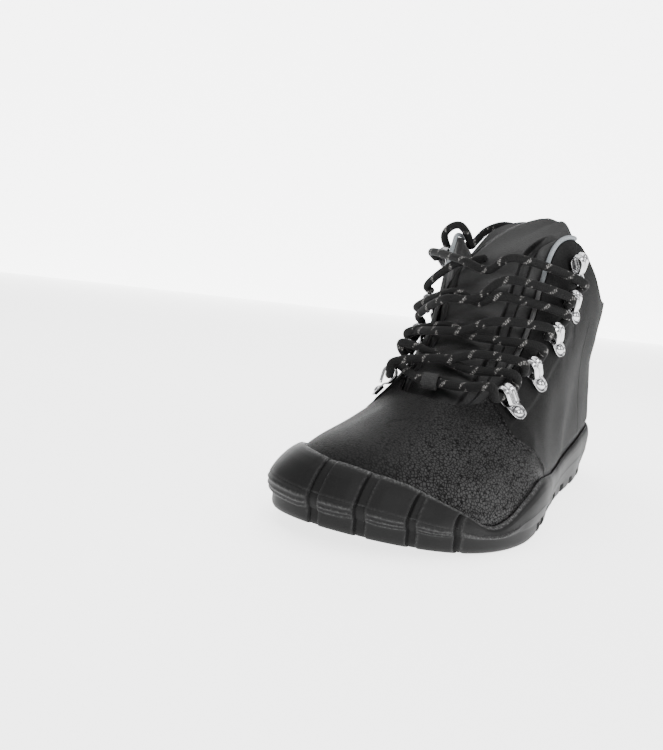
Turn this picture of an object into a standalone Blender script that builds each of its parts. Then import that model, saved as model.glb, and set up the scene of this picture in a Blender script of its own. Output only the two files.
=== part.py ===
# Left hiking boot: cup outsole, hollow leather upper, tongue, insole, lace hooks and lace.
# Frame: +X to the toe, +Y to the little-toe side, +Z up, origin under the heel on the floor.
import math

import bmesh
import bpy
import numpy as np
from mathutils import Matrix, Vector

# Driving dimensions, in metres
LENGTH = 0.283            # heel to toe, outside the rubber
BALL_WIDTH = 0.110        # across the ball, outside the leather
BACK_HEIGHT = 0.1115      # collar at the heel, above the insole board
FRONT_HEIGHT = 0.1425     # front corners of the collar, above the board
INSTEP_HEIGHT = 0.0525    # foot of the throat, above the board
SOLE_THICKNESS = 0.0075   # rubber under the board
LUG_DEPTH = 0.0028        # tread lugs
RIM_HEIGHT = 0.0285       # toe rubber's top edge, above the board
RIM_WALL = 0.0022         # rubber at its top edge
SIDE_WALL = 0.0036        # rubber lower down its wall
LEDGE = 0.0007            # step at half the height of the rubber wall
GROOVE_DEPTH = 0.0013     # toe grooves in the wall
TOE_SPRING = 0.009
HEEL_LIFT = 0.002
ARCH_LIFT = 0.0025
LEATHER = 0.0022          # wall of the upper
QUARTER_STEP = 0.0009     # quarter laid over the vamp
EYESTAY_STEP = 0.0007     # eyestay laid over the quarter
CUFF_SWELL = 0.0014       # padded cuff
INSOLE_THICKNESS = 0.003
TONGUE_THICKNESS = 0.0046
PIPING = 0.0026
LACE = 0.0048
HOOK_WIDTH = 0.0088
HOOK_PLATE = 0.0010
HOOK_LENGTH = 0.0185
GAP = 0.0003              # between pieces that touch
HOOK_ROLL = LACE / 2 + 0.0008                               # radius of the fold round the lace
HOOK_STAND = 0.0007       # how far a flat plate's middle stands off the curved leather
LACE_LIFT = TONGUE_THICKNESS / 2 + LACE / 2 + 2 * GAP       # the lace's middle over the tongue's middle

COLUMNS_PER_STATION = 3
HEEL_SPOT = (0.0490, -0.0080)  # the heel lug that the origin lies under, from the heel's back

HEIGHTS = {"back": BACK_HEIGHT, "front": FRONT_HEIGHT, "instep": INSTEP_HEIGHT}

# Profiles of the last, round the foot from the heel over the little toe and back.
# Columns: name, height it follows, then x, y (and z) of the feather edge, widest point, middle,
# upper and opening edge, and the rubber's top edge. x is a share of LENGTH, y of BALL_WIDTH, z of the
# height above the board, and the last column a share of RIM_HEIGHT.
STATIONS = [
    ("heel_back", "back", .021, 0, .004, 0, .184, .011, 0, .471, .032, 0, .758, .018, 0, 1.0, 1.0),
    ("heel_lat", "back", .067, .209, .049, .236, .184, .060, .218, .471, .081, .205, .758, .074, .236, 1.0, .965),
    ("ankle_lat", "back", .177, .282, .177, .305, .184, .187, .300, .471, .198, .303, .758, .194, .312, 1.018, .825),
    ("quarter_lat", "front", .304, .318, .304, .341, .144, .307, .330, .382, .311, .329, .684, .311, .333, .902, .65),
    ("collar_lat", "front", .382, .341, .382, .368, .130, .382, .352, .368, .389, .332, .705, .396, .291, 1.0, .58),
    ("hook_lat_5", "front", .431, .364, .431, .391, .123, .431, .364, .354, .438, .336, .677, .442, .241, .965, .544),
    ("hook_lat_4", "front", .481, .386, .481, .414, .116, .481, .377, .326, .481, .327, .579, .481, .232, .811, .544),
    ("hook_lat_3", "front", .530, .414, .530, .441, .109, .530, .391, .298, .527, .327, .495, .523, .245, .663, .579),
    ("hook_lat_2", "front", .587, .450, .587, .473, .102, .583, .409, .263, .576, .327, .411, .572, .245, .537, .65),
    ("ball_lat", "front", .650, .477, .650, .500, .095, .647, .427, .242, .640, .323, .354, .629, .236, .439, .684),
    ("little_toe", "instep", .721, .486, .721, .500, .219, .714, .427, .543, .696, .291, .829, .675, .182, 1.0, .474),
    ("fifth_toe", "instep", .799, .445, .799, .455, .200, .781, .382, .505, .742, .236, .771, .696, .118, .962, .175),
    ("fourth_toe", "instep", .869, .359, .873, .364, .200, .841, .300, .524, .781, .164, .771, .707, .064, .981, .474),
    ("third_toe", "instep", .926, .227, .929, .232, .219, .890, .191, .562, .813, .091, .771, .710, .009, .990, .754),
    ("second_toe", "instep", .965, .073, .970, .073, .257, .926, .055, .581, .834, .009, .781, .710, -.045, 1.0, .895),
    ("big_toe_tip", "instep", .986, -.109, .993, -.118, .276, .943, -.109, .581, .841, -.073, .781, .707, -.100, 1.0, .965),
    ("big_toe_med", "instep", .965, -.300, .970, -.309, .276, .916, -.256, .581, .827, -.173, .771, .703, -.145, 1.0, .965),
    ("toe_side_med", "instep", .898, -.418, .901, -.434, .257, .862, -.348, .562, .788, -.255, .762, .693, -.191, 1.0, .86),
    ("ball_med", "instep", .795, -.436, .795, -.455, .257, .777, -.388, .581, .728, -.300, .829, .671, -.236, 1.02, .65),
    ("joint_med", "front", .707, -.418, .707, -.445, .102, .696, -.390, .242, .664, -.320, .340, .629, -.265, .432, .51),
    ("hook_med_2", "front", .608, -.345, .608, -.385, .116, .601, -.365, .284, .583, -.325, .425, .565, -.270, .544, .544),
    ("hook_med_3", "front", .523, -.291, .523, -.335, .123, .523, -.345, .326, .519, -.332, .509, .516, -.288, .677, .579),
    ("hook_med_4", "front", .445, -.255, .445, -.300, .130, .449, -.345, .368, .463, -.348, .635, .463, -.325, .860, .614),
    ("collar_med", "front", .375, -.241, .375, -.285, .137, .378, -.330, .382, .399, -.356, .705, .406, -.350, .993, .65),
    ("quarter_med", "front", .290, -.236, .290, -.278, .144, .297, -.312, .382, .311, -.334, .684, .311, -.338, .895, .72),
    ("ankle_med", "back", .177, -.245, .177, -.286, .184, .187, -.295, .471, .198, -.305, .758, .194, -.312, 1.018, .825),
    ("heel_med", "back", .067, -.195, .049, -.227, .184, .060, -.218, .471, .081, -.209, .758, .074, -.245, 1.0, .965),
]
COUNT = len(STATIONS)
KNOTS = (0, .22, .5, .78, 1.0)                      # where the five profile points lie up the wall
CUP_ROWS = (0, .33, .66, 1.0)                       # rows of the wall in the rubber cup, as shares of its height
OPEN_ROWS = (.10, .38, .69, 1.0)                    # rows from the rubber's edge up to SIDE_TOP
SIDE_TOP = .64
TOP_ROWS = (.705, .75, .82, .90, 1.0)               # rows of the eyestay and cuff, as heights up the wall

CENTRE = .03                                        # smallest ring of a flat face, as a share
FLOOR_RINGS = (.62, CENTRE)
TREAD_RINGS = (CENTRE, .72)

# Toe grooves: y as a share of BALL_WIDTH, width in metres
TOE_GROOVES = ((-.080, .0050), (.100, .0046), (.268, .0032), (.396, .0018))
TOE_GROOVE_START = .715                             # share of LENGTH
CHANNEL_WIDTH = 0.0036
DIAGONAL_WIDTH = 0.0034
DIAGONAL_PITCH = 0.0132
NOTCH_HEIGHT = 0.0062                               # how far the outer grooves climb the side wall
ARCH_PANEL = (.385, -.330, .170, .270)              # centre x, y and half length, half width, as shares

# Lace hooks: ring position and height up the wall of the rivet, then of the folded mouth
HOOKS = [
    ("hook_lateral_1", 9.05, .74, 9.25, .93),
    ("hook_lateral_2", 7.60, .76, 7.95, .93),
    ("hook_lateral_3", 5.90, .74, 6.45, .90),
    ("hook_lateral_4", 4.55, .76, 5.25, .88),
    ("hook_lateral_5", 4.05, .87, 4.45, .955),
    ("hook_medial_1", 19.00, .74, 18.80, .93),
    ("hook_medial_2", 20.15, .76, 19.85, .93),
    ("hook_medial_3", 21.20, .74, 20.75, .90),
    ("hook_medial_4", 22.25, .76, 21.70, .88),
    ("hook_medial_5", 23.10, .87, 22.75, .955),
]

# Tongue sections from under the vamp to the top edge.
# Columns: lateral and medial ring position of the opening edge, rise of the crown, lift of the whole
# section (both shares of BALL_WIDTH), and how far it reaches from the lateral to the medial edge.
TONGUE = [
    (11.6, 16.6, .020, -.058, 1.0),
    (10.6, 17.4, .030, -.034, 1.0),
    (9.25, 18.80, .046, -.004, 1.0),
    (7.95, 19.85, .056, 0, 1.0),
    (6.45, 20.75, .056, 0, 1.0),
    (5.25, 21.70, .052, 0, .94),
    (4.50, 22.70, .054, .01, .64),
    (4.30, 22.90, .056, .085, .42),
]
BASE_SECTION = 1.65                                 # tongue section that the lowest bar lies over
LACE_SAG = .20                                      # how the upper laces hang, in sections
EDGE_RISE, TOP_EDGE_RISE = .012, .030               # how the laces rise toward the eyestay's edges
CLOSER_START = 0.0004                               # the free end starts this much nearer to its hook
KEEPER_LENGTH = 0.008
KEEPER_WALL = 0.0010
TUCKED_END = ((5.00, .80, .0050), (5.06, .70, .0024), (5.12, .60, .0006))    # tongue section, share, lift
FREE_END = (                                        # the end's arch over the medial corner, in metres
    (.1160, -.0490, .1495), (.1170, -.0450, .1550), (.1160, -.0390, .1565), (.1135, -.0345, .1515),
    (.1110, -.0325, .1450), (.1090, -.0305, .1480), (.1060, -.0255, .1550), (.1030, -.0170, .1590),
    (.1000, -.0090, .1580), (.0960, -.0045, .1530), (.0930, -.0022, .1455),
)
TONGUE_WING = .84                                   # height up the wall that the tongue's sides reach

RUBBER_COLOUR = (0.020, 0.020, 0.021)
LEATHER_COLOUR = (0.014, 0.014, 0.015)
PIPING_COLOUR = (0.30, 0.33, 0.36)
CHROME_COLOUR = (0.80, 0.80, 0.82)
LACE_COLOUR = (0.018, 0.018, 0.018)
FABRIC_COLOUR = (0.035, 0.035, 0.038)


# Form of the last
def ground(x, y=0.0):
    """Height of the tread's plane over the floor: toe spring, heel lift and arch."""
    toe = max(0.0, (x / LENGTH - .724) / .276)
    heel = max(0.0, (.078 - x / LENGTH) / .078)
    along = (x / LENGTH - ARCH_PANEL[0]) / (ARCH_PANEL[2] * 1.1)
    across = (y / BALL_WIDTH - ARCH_PANEL[1]) / (ARCH_PANEL[3] * 1.1)
    arch = max(0.0, 1 - along ** 2 - across ** 2)
    return TOE_SPRING * toe ** 2 + HEEL_LIFT * heel ** 2 + ARCH_LIFT * arch ** 2 * 1.5


def profile_points(row):
    """The five points of one station and the height of the rubber's edge there."""
    height = HEIGHTS[row[1]]
    values = row[2:]
    foot = (values[0] * LENGTH, values[1] * BALL_WIDTH)
    points = [(foot[0], foot[1], ground(*foot) + SOLE_THICKNESS)]
    for k in range(4):
        x, y, z = values[2 + 3 * k: 5 + 3 * k]
        points.append((x * LENGTH, y * BALL_WIDTH, SOLE_THICKNESS + z * height))
    return points, SOLE_THICKNESS + values[14] * RIM_HEIGHT


LAST = np.array([profile_points(row)[0] for row in STATIONS])
RIM = np.array([profile_points(row)[1] for row in STATIONS])


def round_the_foot(u, table):
    """A smooth closed curve through the stations' values."""
    i = int(math.floor(u))
    t = u - i
    a, b, c, d = (table[(i + k) % COUNT] for k in (-1, 0, 1, 2))
    return .5 * (2 * b + (c - a) * t + (2 * a - 5 * b + 4 * c - d) * t ** 2 + (3 * b - a - 3 * c + d) * t ** 3)


def surface(u, v):
    """Outer face of the last: u round the foot in stations, v up the wall from 0 to 1."""
    points = round_the_foot(u, LAST)
    chords = [(points[k + 1] - points[k]) / (KNOTS[k + 1] - KNOTS[k]) for k in range(4)]
    slopes = [chords[0]]
    for k in range(1, 4):
        before, after = KNOTS[k] - KNOTS[k - 1], KNOTS[k + 1] - KNOTS[k]
        slopes.append((chords[k - 1] * after + chords[k] * before) / (before + after))
    slopes.append(chords[3])
    k = min(3, max(i for i in range(4) if v >= KNOTS[i] or i == 0))
    h = KNOTS[k + 1] - KNOTS[k]
    s = (v - KNOTS[k]) / h
    return ((2 * s ** 3 - 3 * s ** 2 + 1) * points[k] + (s ** 3 - 2 * s ** 2 + s) * h * slopes[k]
            + (3 * s ** 2 - 2 * s ** 3) * points[k + 1] + (s ** 3 - s ** 2) * h * slopes[k + 1])


def outward(u, v):
    """Unit normal of the last's outer face."""
    small = .001
    round_foot = surface(u + small, v) - surface(u - small, v)
    up_wall = surface(u, min(1, v + small)) - surface(u, max(0, v - small))
    n = np.cross(up_wall, round_foot)
    return n / np.linalg.norm(n)


def ramp(x, start, end):
    t = min(1.0, max(0.0, (x - start) / (end - start)))
    return t * t * (3 - 2 * t)


def station_range(u, start, end, soft):
    """1 between two stations and 0 outside, with soft ends; start may lie behind the heel."""
    if u > end + soft + 1:
        u -= COUNT
    return ramp(u, start - soft, start) * (1 - ramp(u, end, end + soft))


def relief(u, v):
    """Steps of the upper's wall: quarter over vamp, eyestay over quarter, padded cuff."""
    seam_lat = 8.05 + 1.45 * ramp(v, .19, .70)
    seam_med = 20.05 - 1.35 * ramp(v, .19, .70)
    rubber = float(round_the_foot(u, RIM_SHARES))
    quarter = station_range(u, seam_med - COUNT, seam_lat, .12) * ramp(v, rubber + .02, rubber + .06)
    eyestay = max(station_range(u, 4.1, 9.35, .12), station_range(u, 18.75, 23.0, .12)) * ramp(v, .70, .74)
    cuff = station_range(u, -4.1, 3.8, .3) * ramp(v, .66, .82) * (1 - .5 * ramp(v, .93, 1))
    return QUARTER_STEP * quarter + EYESTAY_STEP * eyestay + CUFF_SWELL * cuff


def rim_height_share(u):
    """How far up the wall the rubber's edge lies at u."""
    target = float(round_the_foot(u, RIM))
    low, high = 0.0, .8
    for _ in range(24):
        middle = (low + high) / 2
        if surface(u, middle)[2] < target:
            low = middle
        else:
            high = middle
    return low


RIM_SHARES = np.array([rim_height_share(u) for u in range(COUNT)])
RING = [k / COLUMNS_PER_STATION for k in range(COUNT * COLUMNS_PER_STATION)]


def level_normal(u):
    n = outward(u, .06) * (1, 1, 0)
    return n / np.linalg.norm(n)


def toward_spine(ring, share, height):
    """The ring shrunk toward the foot's middle line, laid on the tread's plane plus a height."""
    heel, toe = np.array((.14 * LENGTH, 0)), np.array((.71 * LENGTH, 0))
    rings = []
    for p in ring:
        t = min(1, max(0, (p[0] - heel[0]) / (toe[0] - heel[0])))
        c = heel + (toe - heel) * t
        q = c + (np.array(p[:2]) - c) * share
        rings.append((q[0], q[1], ground(q[0], q[1]) + height))
    return rings


# Making objects
def material(name, colour, roughness, metallic=0.0):
    m = bpy.data.materials.new(name)
    m.use_nodes = True
    shader = m.node_tree.nodes["Principled BSDF"]
    shader.inputs["Base Color"].default_value = (*colour, 1)
    shader.inputs["Roughness"].default_value = roughness
    shader.inputs["Metallic"].default_value = metallic
    return m


def add_object(name, mesh, finish, collection, cutter=False):
    ob = bpy.data.objects.new(name, mesh)
    collection.objects.link(ob)
    if cutter:
        ob.hide_render = True
        ob.display_type = "WIRE"
    else:
        mesh.materials.append(finish)
    return ob


def mesh_from(bm, name, smooth=math.radians(40)):
    mesh = bpy.data.meshes.new(name)
    bm.to_mesh(mesh)
    bm.free()
    mesh.shade_smooth()
    mesh.set_sharp_from_angle(angle=smooth)
    return mesh


def loft(name, rings):
    """A closed mesh through equal rings. A last ring that repeats the first joins up, others are capped."""
    bm = bmesh.new()
    around = rings[-1] is rings[0]
    rows = [[bm.verts.new(p) for p in ring] for ring in (rings[:-1] if around else rings)]
    if around:
        rows.append(rows[0])
    for a, b in zip(rows, rows[1:]):
        for k in range(len(a)):
            m = (k + 1) % len(a)
            bm.faces.new((a[k], b[k], b[m], a[m]))
    if not around:
        bm.faces.new(rows[0])
        bm.faces.new(rows[-1])
    bmesh.ops.recalc_face_normals(bm, faces=bm.faces)
    bmesh.ops.triangulate(bm, faces=bm.faces)
    return mesh_from(bm, name)


def prism(bm, outline, low, high):
    """An upright prism over a plan outline."""
    base = bm.faces.new([bm.verts.new((x, y, low)) for x, y in outline])
    made = bmesh.ops.extrude_face_region(bm, geom=[base])
    top = [g for g in made["geom"] if isinstance(g, bmesh.types.BMVert)]
    bmesh.ops.translate(bm, verts=top, vec=(0, 0, high - low))


def ribbon(bm, points, width, low, high):
    """An upright slab that follows a plan line."""
    left, right = [], []
    for k, p in enumerate(points):
        a, b = points[max(0, k - 1)], points[min(len(points) - 1, k + 1)]
        d = Vector((b[0] - a[0], b[1] - a[1])).normalized()
        side = Vector((-d.y, d.x)) * width / 2
        left.append((p[0] + side.x, p[1] + side.y))
        right.append((p[0] - side.x, p[1] - side.y))
    prism(bm, left + right[::-1], low, high)


def tube_mesh(name, points, diameter, sides):
    """A round cord through points, with its caps welded."""
    curve = bpy.data.curves.new(name, "CURVE")
    curve.dimensions = "3D"
    curve.bevel_depth = diameter / 2
    curve.bevel_resolution = sides // 4 - 1
    curve.use_fill_caps = True
    spline = curve.splines.new("POLY")
    spline.points.add(len(points) - 1)
    for p, q in zip(spline.points, points):
        p.co = (*q, 1)
    holder = bpy.data.objects.new(name, curve)
    bpy.context.scene.collection.objects.link(holder)
    bpy.context.view_layer.update()
    mesh = bpy.data.meshes.new_from_object(holder.evaluated_get(bpy.context.evaluated_depsgraph_get()))
    bpy.data.objects.remove(holder)
    bpy.data.curves.remove(curve)
    bm = bmesh.new()
    bm.from_mesh(mesh)
    bpy.data.meshes.remove(mesh)
    bmesh.ops.remove_doubles(bm, verts=bm.verts, dist=.00005)
    bmesh.ops.recalc_face_normals(bm, faces=bm.faces)
    return mesh_from(bm, name)


def smooth_path(points, per_span):
    """Points read from a smooth curve through the route's own points."""
    p = [Vector(q) for q in points]
    p = [2 * p[0] - p[1]] + p + [2 * p[-1] - p[-2]]
    path = []
    for a, b, c, d in zip(p, p[1:], p[2:], p[3:]):
        for k in range(per_span):
            t = k / per_span
            path.append(.5 * (2 * b + (c - a) * t + (2 * a - 5 * b + 4 * c - d) * t ** 2
                              + (3 * b - a - 3 * c + d) * t ** 3))
    return path + [p[-2]]


def union(name, first, second, finish, collection, guides):
    """The first mesh with the second joined to it."""
    tool = add_object(name + "_join", second, finish, guides, cutter=True)
    ob = add_object(name, first, finish, collection)
    modifier = ob.modifiers.new("join", "BOOLEAN")
    modifier.operation = "UNION"
    modifier.object = tool
    return ob


# The sole
def cup_rings():
    """Rings of the rubber cup from the tread's middle, up the wall and down into the cavity."""
    edge, turn, low, ledge_low, ledge_high, rim = [], [], [], [], [], []
    inner = []
    for u in RING:
        top = rim_height_share(u)
        foot = surface(u, 0)
        n = level_normal(u)
        tread = ground(foot[0], foot[1])
        edge.append((foot + n * SIDE_WALL * .55) * (1, 1, 0) + (0, 0, tread))
        turn.append((foot + n * (SIDE_WALL + LEDGE)) * (1, 1, 0) + (0, 0, tread + SOLE_THICKNESS * .45))
        low.append(surface(u, top * .2) + outward(u, top * .2) * (SIDE_WALL + LEDGE))
        ledge_low.append(surface(u, top * .48) + outward(u, top * .48) * (SIDE_WALL * .94 + LEDGE))
        ledge_high.append(surface(u, top * .53) + outward(u, top * .53) * SIDE_WALL * .90)
        rim.append(surface(u, top) + outward(u, top) * RIM_WALL)
        inner.append([surface(u, top * s) + outward(u, top * s) * GAP for s in (1, .66, .33)]
                     + [foot + n * GAP - (0, 0, GAP)])
    wall_in = [[column[k] for column in inner] for k in range(4)]
    return ([toward_spine(edge, share, 0) for share in TREAD_RINGS] + [edge, turn, low, ledge_low, ledge_high, rim]
            + wall_in + [toward_spine(wall_in[-1], share, SOLE_THICKNESS - GAP) for share in FLOOR_RINGS])


def core_rings():
    """The rubber that no groove reaches: the cup's outside, set in by the grooves' depth."""
    edge, turn, low, mid, rim, over = [], [], [], [], [], []
    for u in RING:
        top = rim_height_share(u)
        foot = surface(u, 0)
        n = level_normal(u)
        tread = ground(foot[0], foot[1]) + LUG_DEPTH
        wall = SIDE_WALL - GROOVE_DEPTH
        edge.append((foot + n * SIDE_WALL * .2) * (1, 1, 0) + (0, 0, tread))
        turn.append((foot + n * wall * .9) * (1, 1, 0) + (0, 0, tread + SOLE_THICKNESS * .25))
        low.append(surface(u, top * .2) + outward(u, top * .2) * wall)
        mid.append(surface(u, top * .5) + outward(u, top * .5) * wall * .9)
        rim.append(surface(u, top) + outward(u, top) * (RIM_WALL - GROOVE_DEPTH))
        over.append(surface(u, top + .08) + outward(u, top + .08) * (RIM_WALL - GROOVE_DEPTH))
    return ([toward_spine(edge, share, LUG_DEPTH) for share in TREAD_RINGS]
            + [edge, turn, low, mid, rim, over])


def side_lines():
    """Plan position of the tread's lateral and medial edges along x."""
    feet = [surface(u, 0) + level_normal(u) * SIDE_WALL for u in RING]
    lateral = sorted((p[0], p[1]) for p in feet[:15 * COLUMNS_PER_STATION])
    medial = sorted((p[0], p[1]) for p in feet[15 * COLUMNS_PER_STATION:])
    return lateral, medial


def plan_point(x, share, sides):
    """A point at x, at a share from the middle (0) to the edges (-1 medial, 1 lateral)."""
    lateral = float(np.interp(x, *zip(*sides[0])))
    medial = float(np.interp(x, *zip(*sides[1])))
    middle, half = (lateral + medial) / 2, (lateral - medial) / 2
    return x, middle + share * half


def in_arch_panel(x, y):
    along = (x / LENGTH - ARCH_PANEL[0]) / ARCH_PANEL[2]
    across = (y / BALL_WIDTH - ARCH_PANEL[1]) / ARCH_PANEL[3]
    return along ** 2 + across ** 2 < 1


def groove_slabs():
    """Slabs that the toe grooves, tread channels and diagonals are cut with."""
    bm = bmesh.new()
    sides = side_lines()
    start = TOE_GROOVE_START * LENGTH
    for share, width in TOE_GROOVES:
        y = share * BALL_WIDTH
        ribbon(bm, [(start - .008, y * .96), (LENGTH * 1.05, y)], width, -.005, SOLE_THICKNESS + RIM_HEIGHT + .004)
    border = [plan_point(start - .010 * (share + 1), share, sides) for share in (-1.1, -.5, 0, .5, 1.1)]
    ribbon(bm, border, CHANNEL_WIDTH * 1.3, -.0052, NOTCH_HEIGHT)
    rows = (-1.12, -.5, 0, .5, 1.12)
    front, back = start - .004, .055 * LENGTH
    steps = int((front - back) / .016)
    for share in rows[1:-1]:
        line = [plan_point(front - (front - back) * k / steps, share, sides) for k in range(steps + 1)]
        run = []
        for p in line + [None]:
            if p is not None and not in_arch_panel(*p):
                run.append(p)
            else:
                if len(run) > 1:
                    ribbon(bm, run, CHANNEL_WIDTH, -.0051, SOLE_THICKNESS * .8)
                run = []
    for j, (a, b) in enumerate(zip(rows, rows[1:])):
        x = front - .004 * j
        k = 0
        while x - DIAGONAL_PITCH > back:
            ends = (a, b) if (k + j) % 2 else (b, a)
            p = plan_point(x, ends[0], sides)
            q = plan_point(x - DIAGONAL_PITCH, ends[1], sides)
            if not in_arch_panel((p[0] + q[0]) / 2, (p[1] + q[1]) / 2):
                ribbon(bm, [p, q], DIAGONAL_WIDTH, -.0049 + .0002 * j, NOTCH_HEIGHT + .0002 * j)
            x -= DIAGONAL_PITCH
            k += 1
    bmesh.ops.recalc_face_normals(bm, faces=bm.faces)
    return mesh_from(bm, "groove_slabs")


def make_sole(parts, guides, rubber):
    core = add_object("sole_core", loft("sole_core", core_rings()), rubber, guides, cutter=True)
    slabs = add_object("groove_slabs", groove_slabs(), rubber, guides, cutter=True)
    outer_part = slabs.modifiers.new("outside_the_core", "BOOLEAN")
    outer_part.operation = "DIFFERENCE"
    outer_part.use_self = True
    outer_part.object = core
    sole = add_object("sole", loft("sole", cup_rings()), rubber, parts)
    grooves = sole.modifiers.new("grooves", "BOOLEAN")
    grooves.operation = "DIFFERENCE"
    grooves.object = slabs
    flats = sole.modifiers.new("flats", "DECIMATE")
    flats.decimate_type = "DISSOLVE"
    flats.angle_limit = math.radians(.25)
    sole.modifiers.new("triangles", "TRIANGULATE")


# The upper and what lies in it
def make_upper(parts, leather):
    """The leather wall: outer face from the feather edge to the opening, and its inner face back down."""
    outer, inner = [], []
    for u in RING:
        top = rim_height_share(u)
        rows = [top * share for share in CUP_ROWS] + [top + (SIDE_TOP - top) * share for share in OPEN_ROWS]
        lining = [1.0, .90, .75, SIDE_TOP, top + (SIDE_TOP - top) * .38, top, top * .4, 0]
        outer.append([surface(u, v) + outward(u, v) * relief(u, v) for v in rows + list(TOP_ROWS)])
        inner.append([surface(u, v) + outward(u, v) * (relief(u, v) - LEATHER) for v in lining])
    columns = [a + b for a, b in zip(outer, inner)]
    rings = [[column[k] for column in columns] for k in range(len(columns[0]))]
    add_object("upper", loft("upper", rings + rings[:1]), leather, parts)


def make_insole(parts, fabric):
    inset = LEATHER + 2 * GAP
    low, high = [], []
    for u in range(COUNT):
        p = surface(u, 0) - level_normal(u) * inset
        base = ground(p[0], p[1]) + SOLE_THICKNESS + GAP
        low.append((p[0], p[1], base))
        high.append((p[0], p[1], base + INSOLE_THICKNESS))
    rings = [toward_spine(low, share, SOLE_THICKNESS + GAP) for share in reversed(FLOOR_RINGS)] + [low, high]
    rings += [toward_spine(high, share, SOLE_THICKNESS + GAP + INSOLE_THICKNESS) for share in FLOOR_RINGS]
    add_object("insole", loft("insole", rings), fabric, parts)


def tongue_section(row):
    """Middle line of the tongue across one section, from the lateral wing to the medial one."""
    u_lat, u_med, rise, lift, reach = row
    depth = LEATHER + 2 * GAP + TONGUE_THICKNESS / 2
    edge_lat, edge_med = (surface(u, 1) - outward(u, 1) * depth for u in (u_lat, u_med))
    wing_lat, wing_med = (surface(u, TONGUE_WING) - outward(u, TONGUE_WING) * depth for u in (u_lat, u_med))
    across = edge_med - edge_lat
    forward = outward(u_lat, 1) + outward(u_med, 1)
    forward = forward / np.linalg.norm(forward)
    crown = [edge_lat + across * t + forward * rise * BALL_WIDTH * w for t, w in ((.25, .75), (.5, 1), (.75, .75))]
    points = [wing_lat, edge_lat] + crown + [edge_med, wing_med]
    up = np.array((-.35, 0, .94)) if lift > 0 else np.array((0, 0, 1))
    points = [p + up * lift * BALL_WIDTH for p in points]
    path = smooth_path(points, 2)
    share = [k / (len(path) - 1) * reach for k in range(len(path))]
    return [at_share(path, s) for s in share]


def at_share(path, share):
    k = min(len(path) - 2, int(share * (len(path) - 1)))
    t = share * (len(path) - 1) - k
    return path[k].lerp(path[k + 1], t)


SECTIONS = [tongue_section(row) for row in TONGUE]


def tongue_point(s, t):
    """Point and outward normal of the tongue's middle surface: s in sections, t from 0 lateral to 1 medial."""
    def point(s, t):
        s = min(len(SECTIONS) - 1.0, max(0.0, s))
        k = min(len(SECTIONS) - 2, int(s))
        return at_share(SECTIONS[k], t).lerp(at_share(SECTIONS[k + 1], t), s - k)
    here = point(s, t)
    up = point(s + .3, t) - point(s - .3, t)
    side = point(s, min(1, t + .03)) - point(s, max(0, t - .03))
    n = side.cross(up).normalized()
    return here, (n if n.x > 0 else -n)


def make_tongue(parts, leather):
    bm = bmesh.new()
    count = len(SECTIONS[0])
    fronts, backs = [], []
    for s in range(len(SECTIONS)):
        front, back = [], []
        for k in range(count):
            p, n = tongue_point(s, k / (count - 1))
            half = TONGUE_THICKNESS / 2 * (.6 if k in (0, count - 1) else 1)
            front.append(bm.verts.new(p + n * half))
            back.append(bm.verts.new(p - n * half))
        fronts.append(front)
        backs.append(back)
    for grid in (fronts, backs):
        for a, b in zip(grid, grid[1:]):
            for k in range(count - 1):
                bm.faces.new((a[k], a[k + 1], b[k + 1], b[k]))
    border = ([(0, k) for k in range(count)] + [(s, count - 1) for s in range(1, len(SECTIONS))]
              + [(len(SECTIONS) - 1, k) for k in range(count - 2, -1, -1)]
              + [(s, 0) for s in range(len(SECTIONS) - 2, 0, -1)])
    for (s, k), (m, j) in zip(border, border[1:] + border[:1]):
        bm.faces.new((fronts[s][k], fronts[m][j], backs[m][j], backs[s][k]))
    bmesh.ops.recalc_face_normals(bm, faces=bm.faces)
    add_object("tongue", mesh_from(bm, "tongue"), leather, parts)


def edge_point(u, beyond, depth):
    """A point off the opening's edge: so far beyond it and so deep under the leather's face."""
    along_edge = surface(u + .02, 1) - surface(u - .02, 1)
    off = np.cross(outward(u, 1), along_edge)
    off *= np.sign(off @ (surface(u, 1) - surface(u, .97))) / np.linalg.norm(off)
    return surface(u, 1) + off * beyond + outward(u, 1) * (relief(u, 1) - depth)


def make_piping(parts, reflective):
    for name, first, last in (("piping_lateral", 4.0, 8.7), ("piping_medial", 19.3, 23.4)):
        route = [edge_point(u, 2 * GAP + PIPING / 2, LEATHER * .5) for u in RING if first <= u <= last]
        add_object(name, tube_mesh(name, route, PIPING, 8), reflective, parts)


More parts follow.
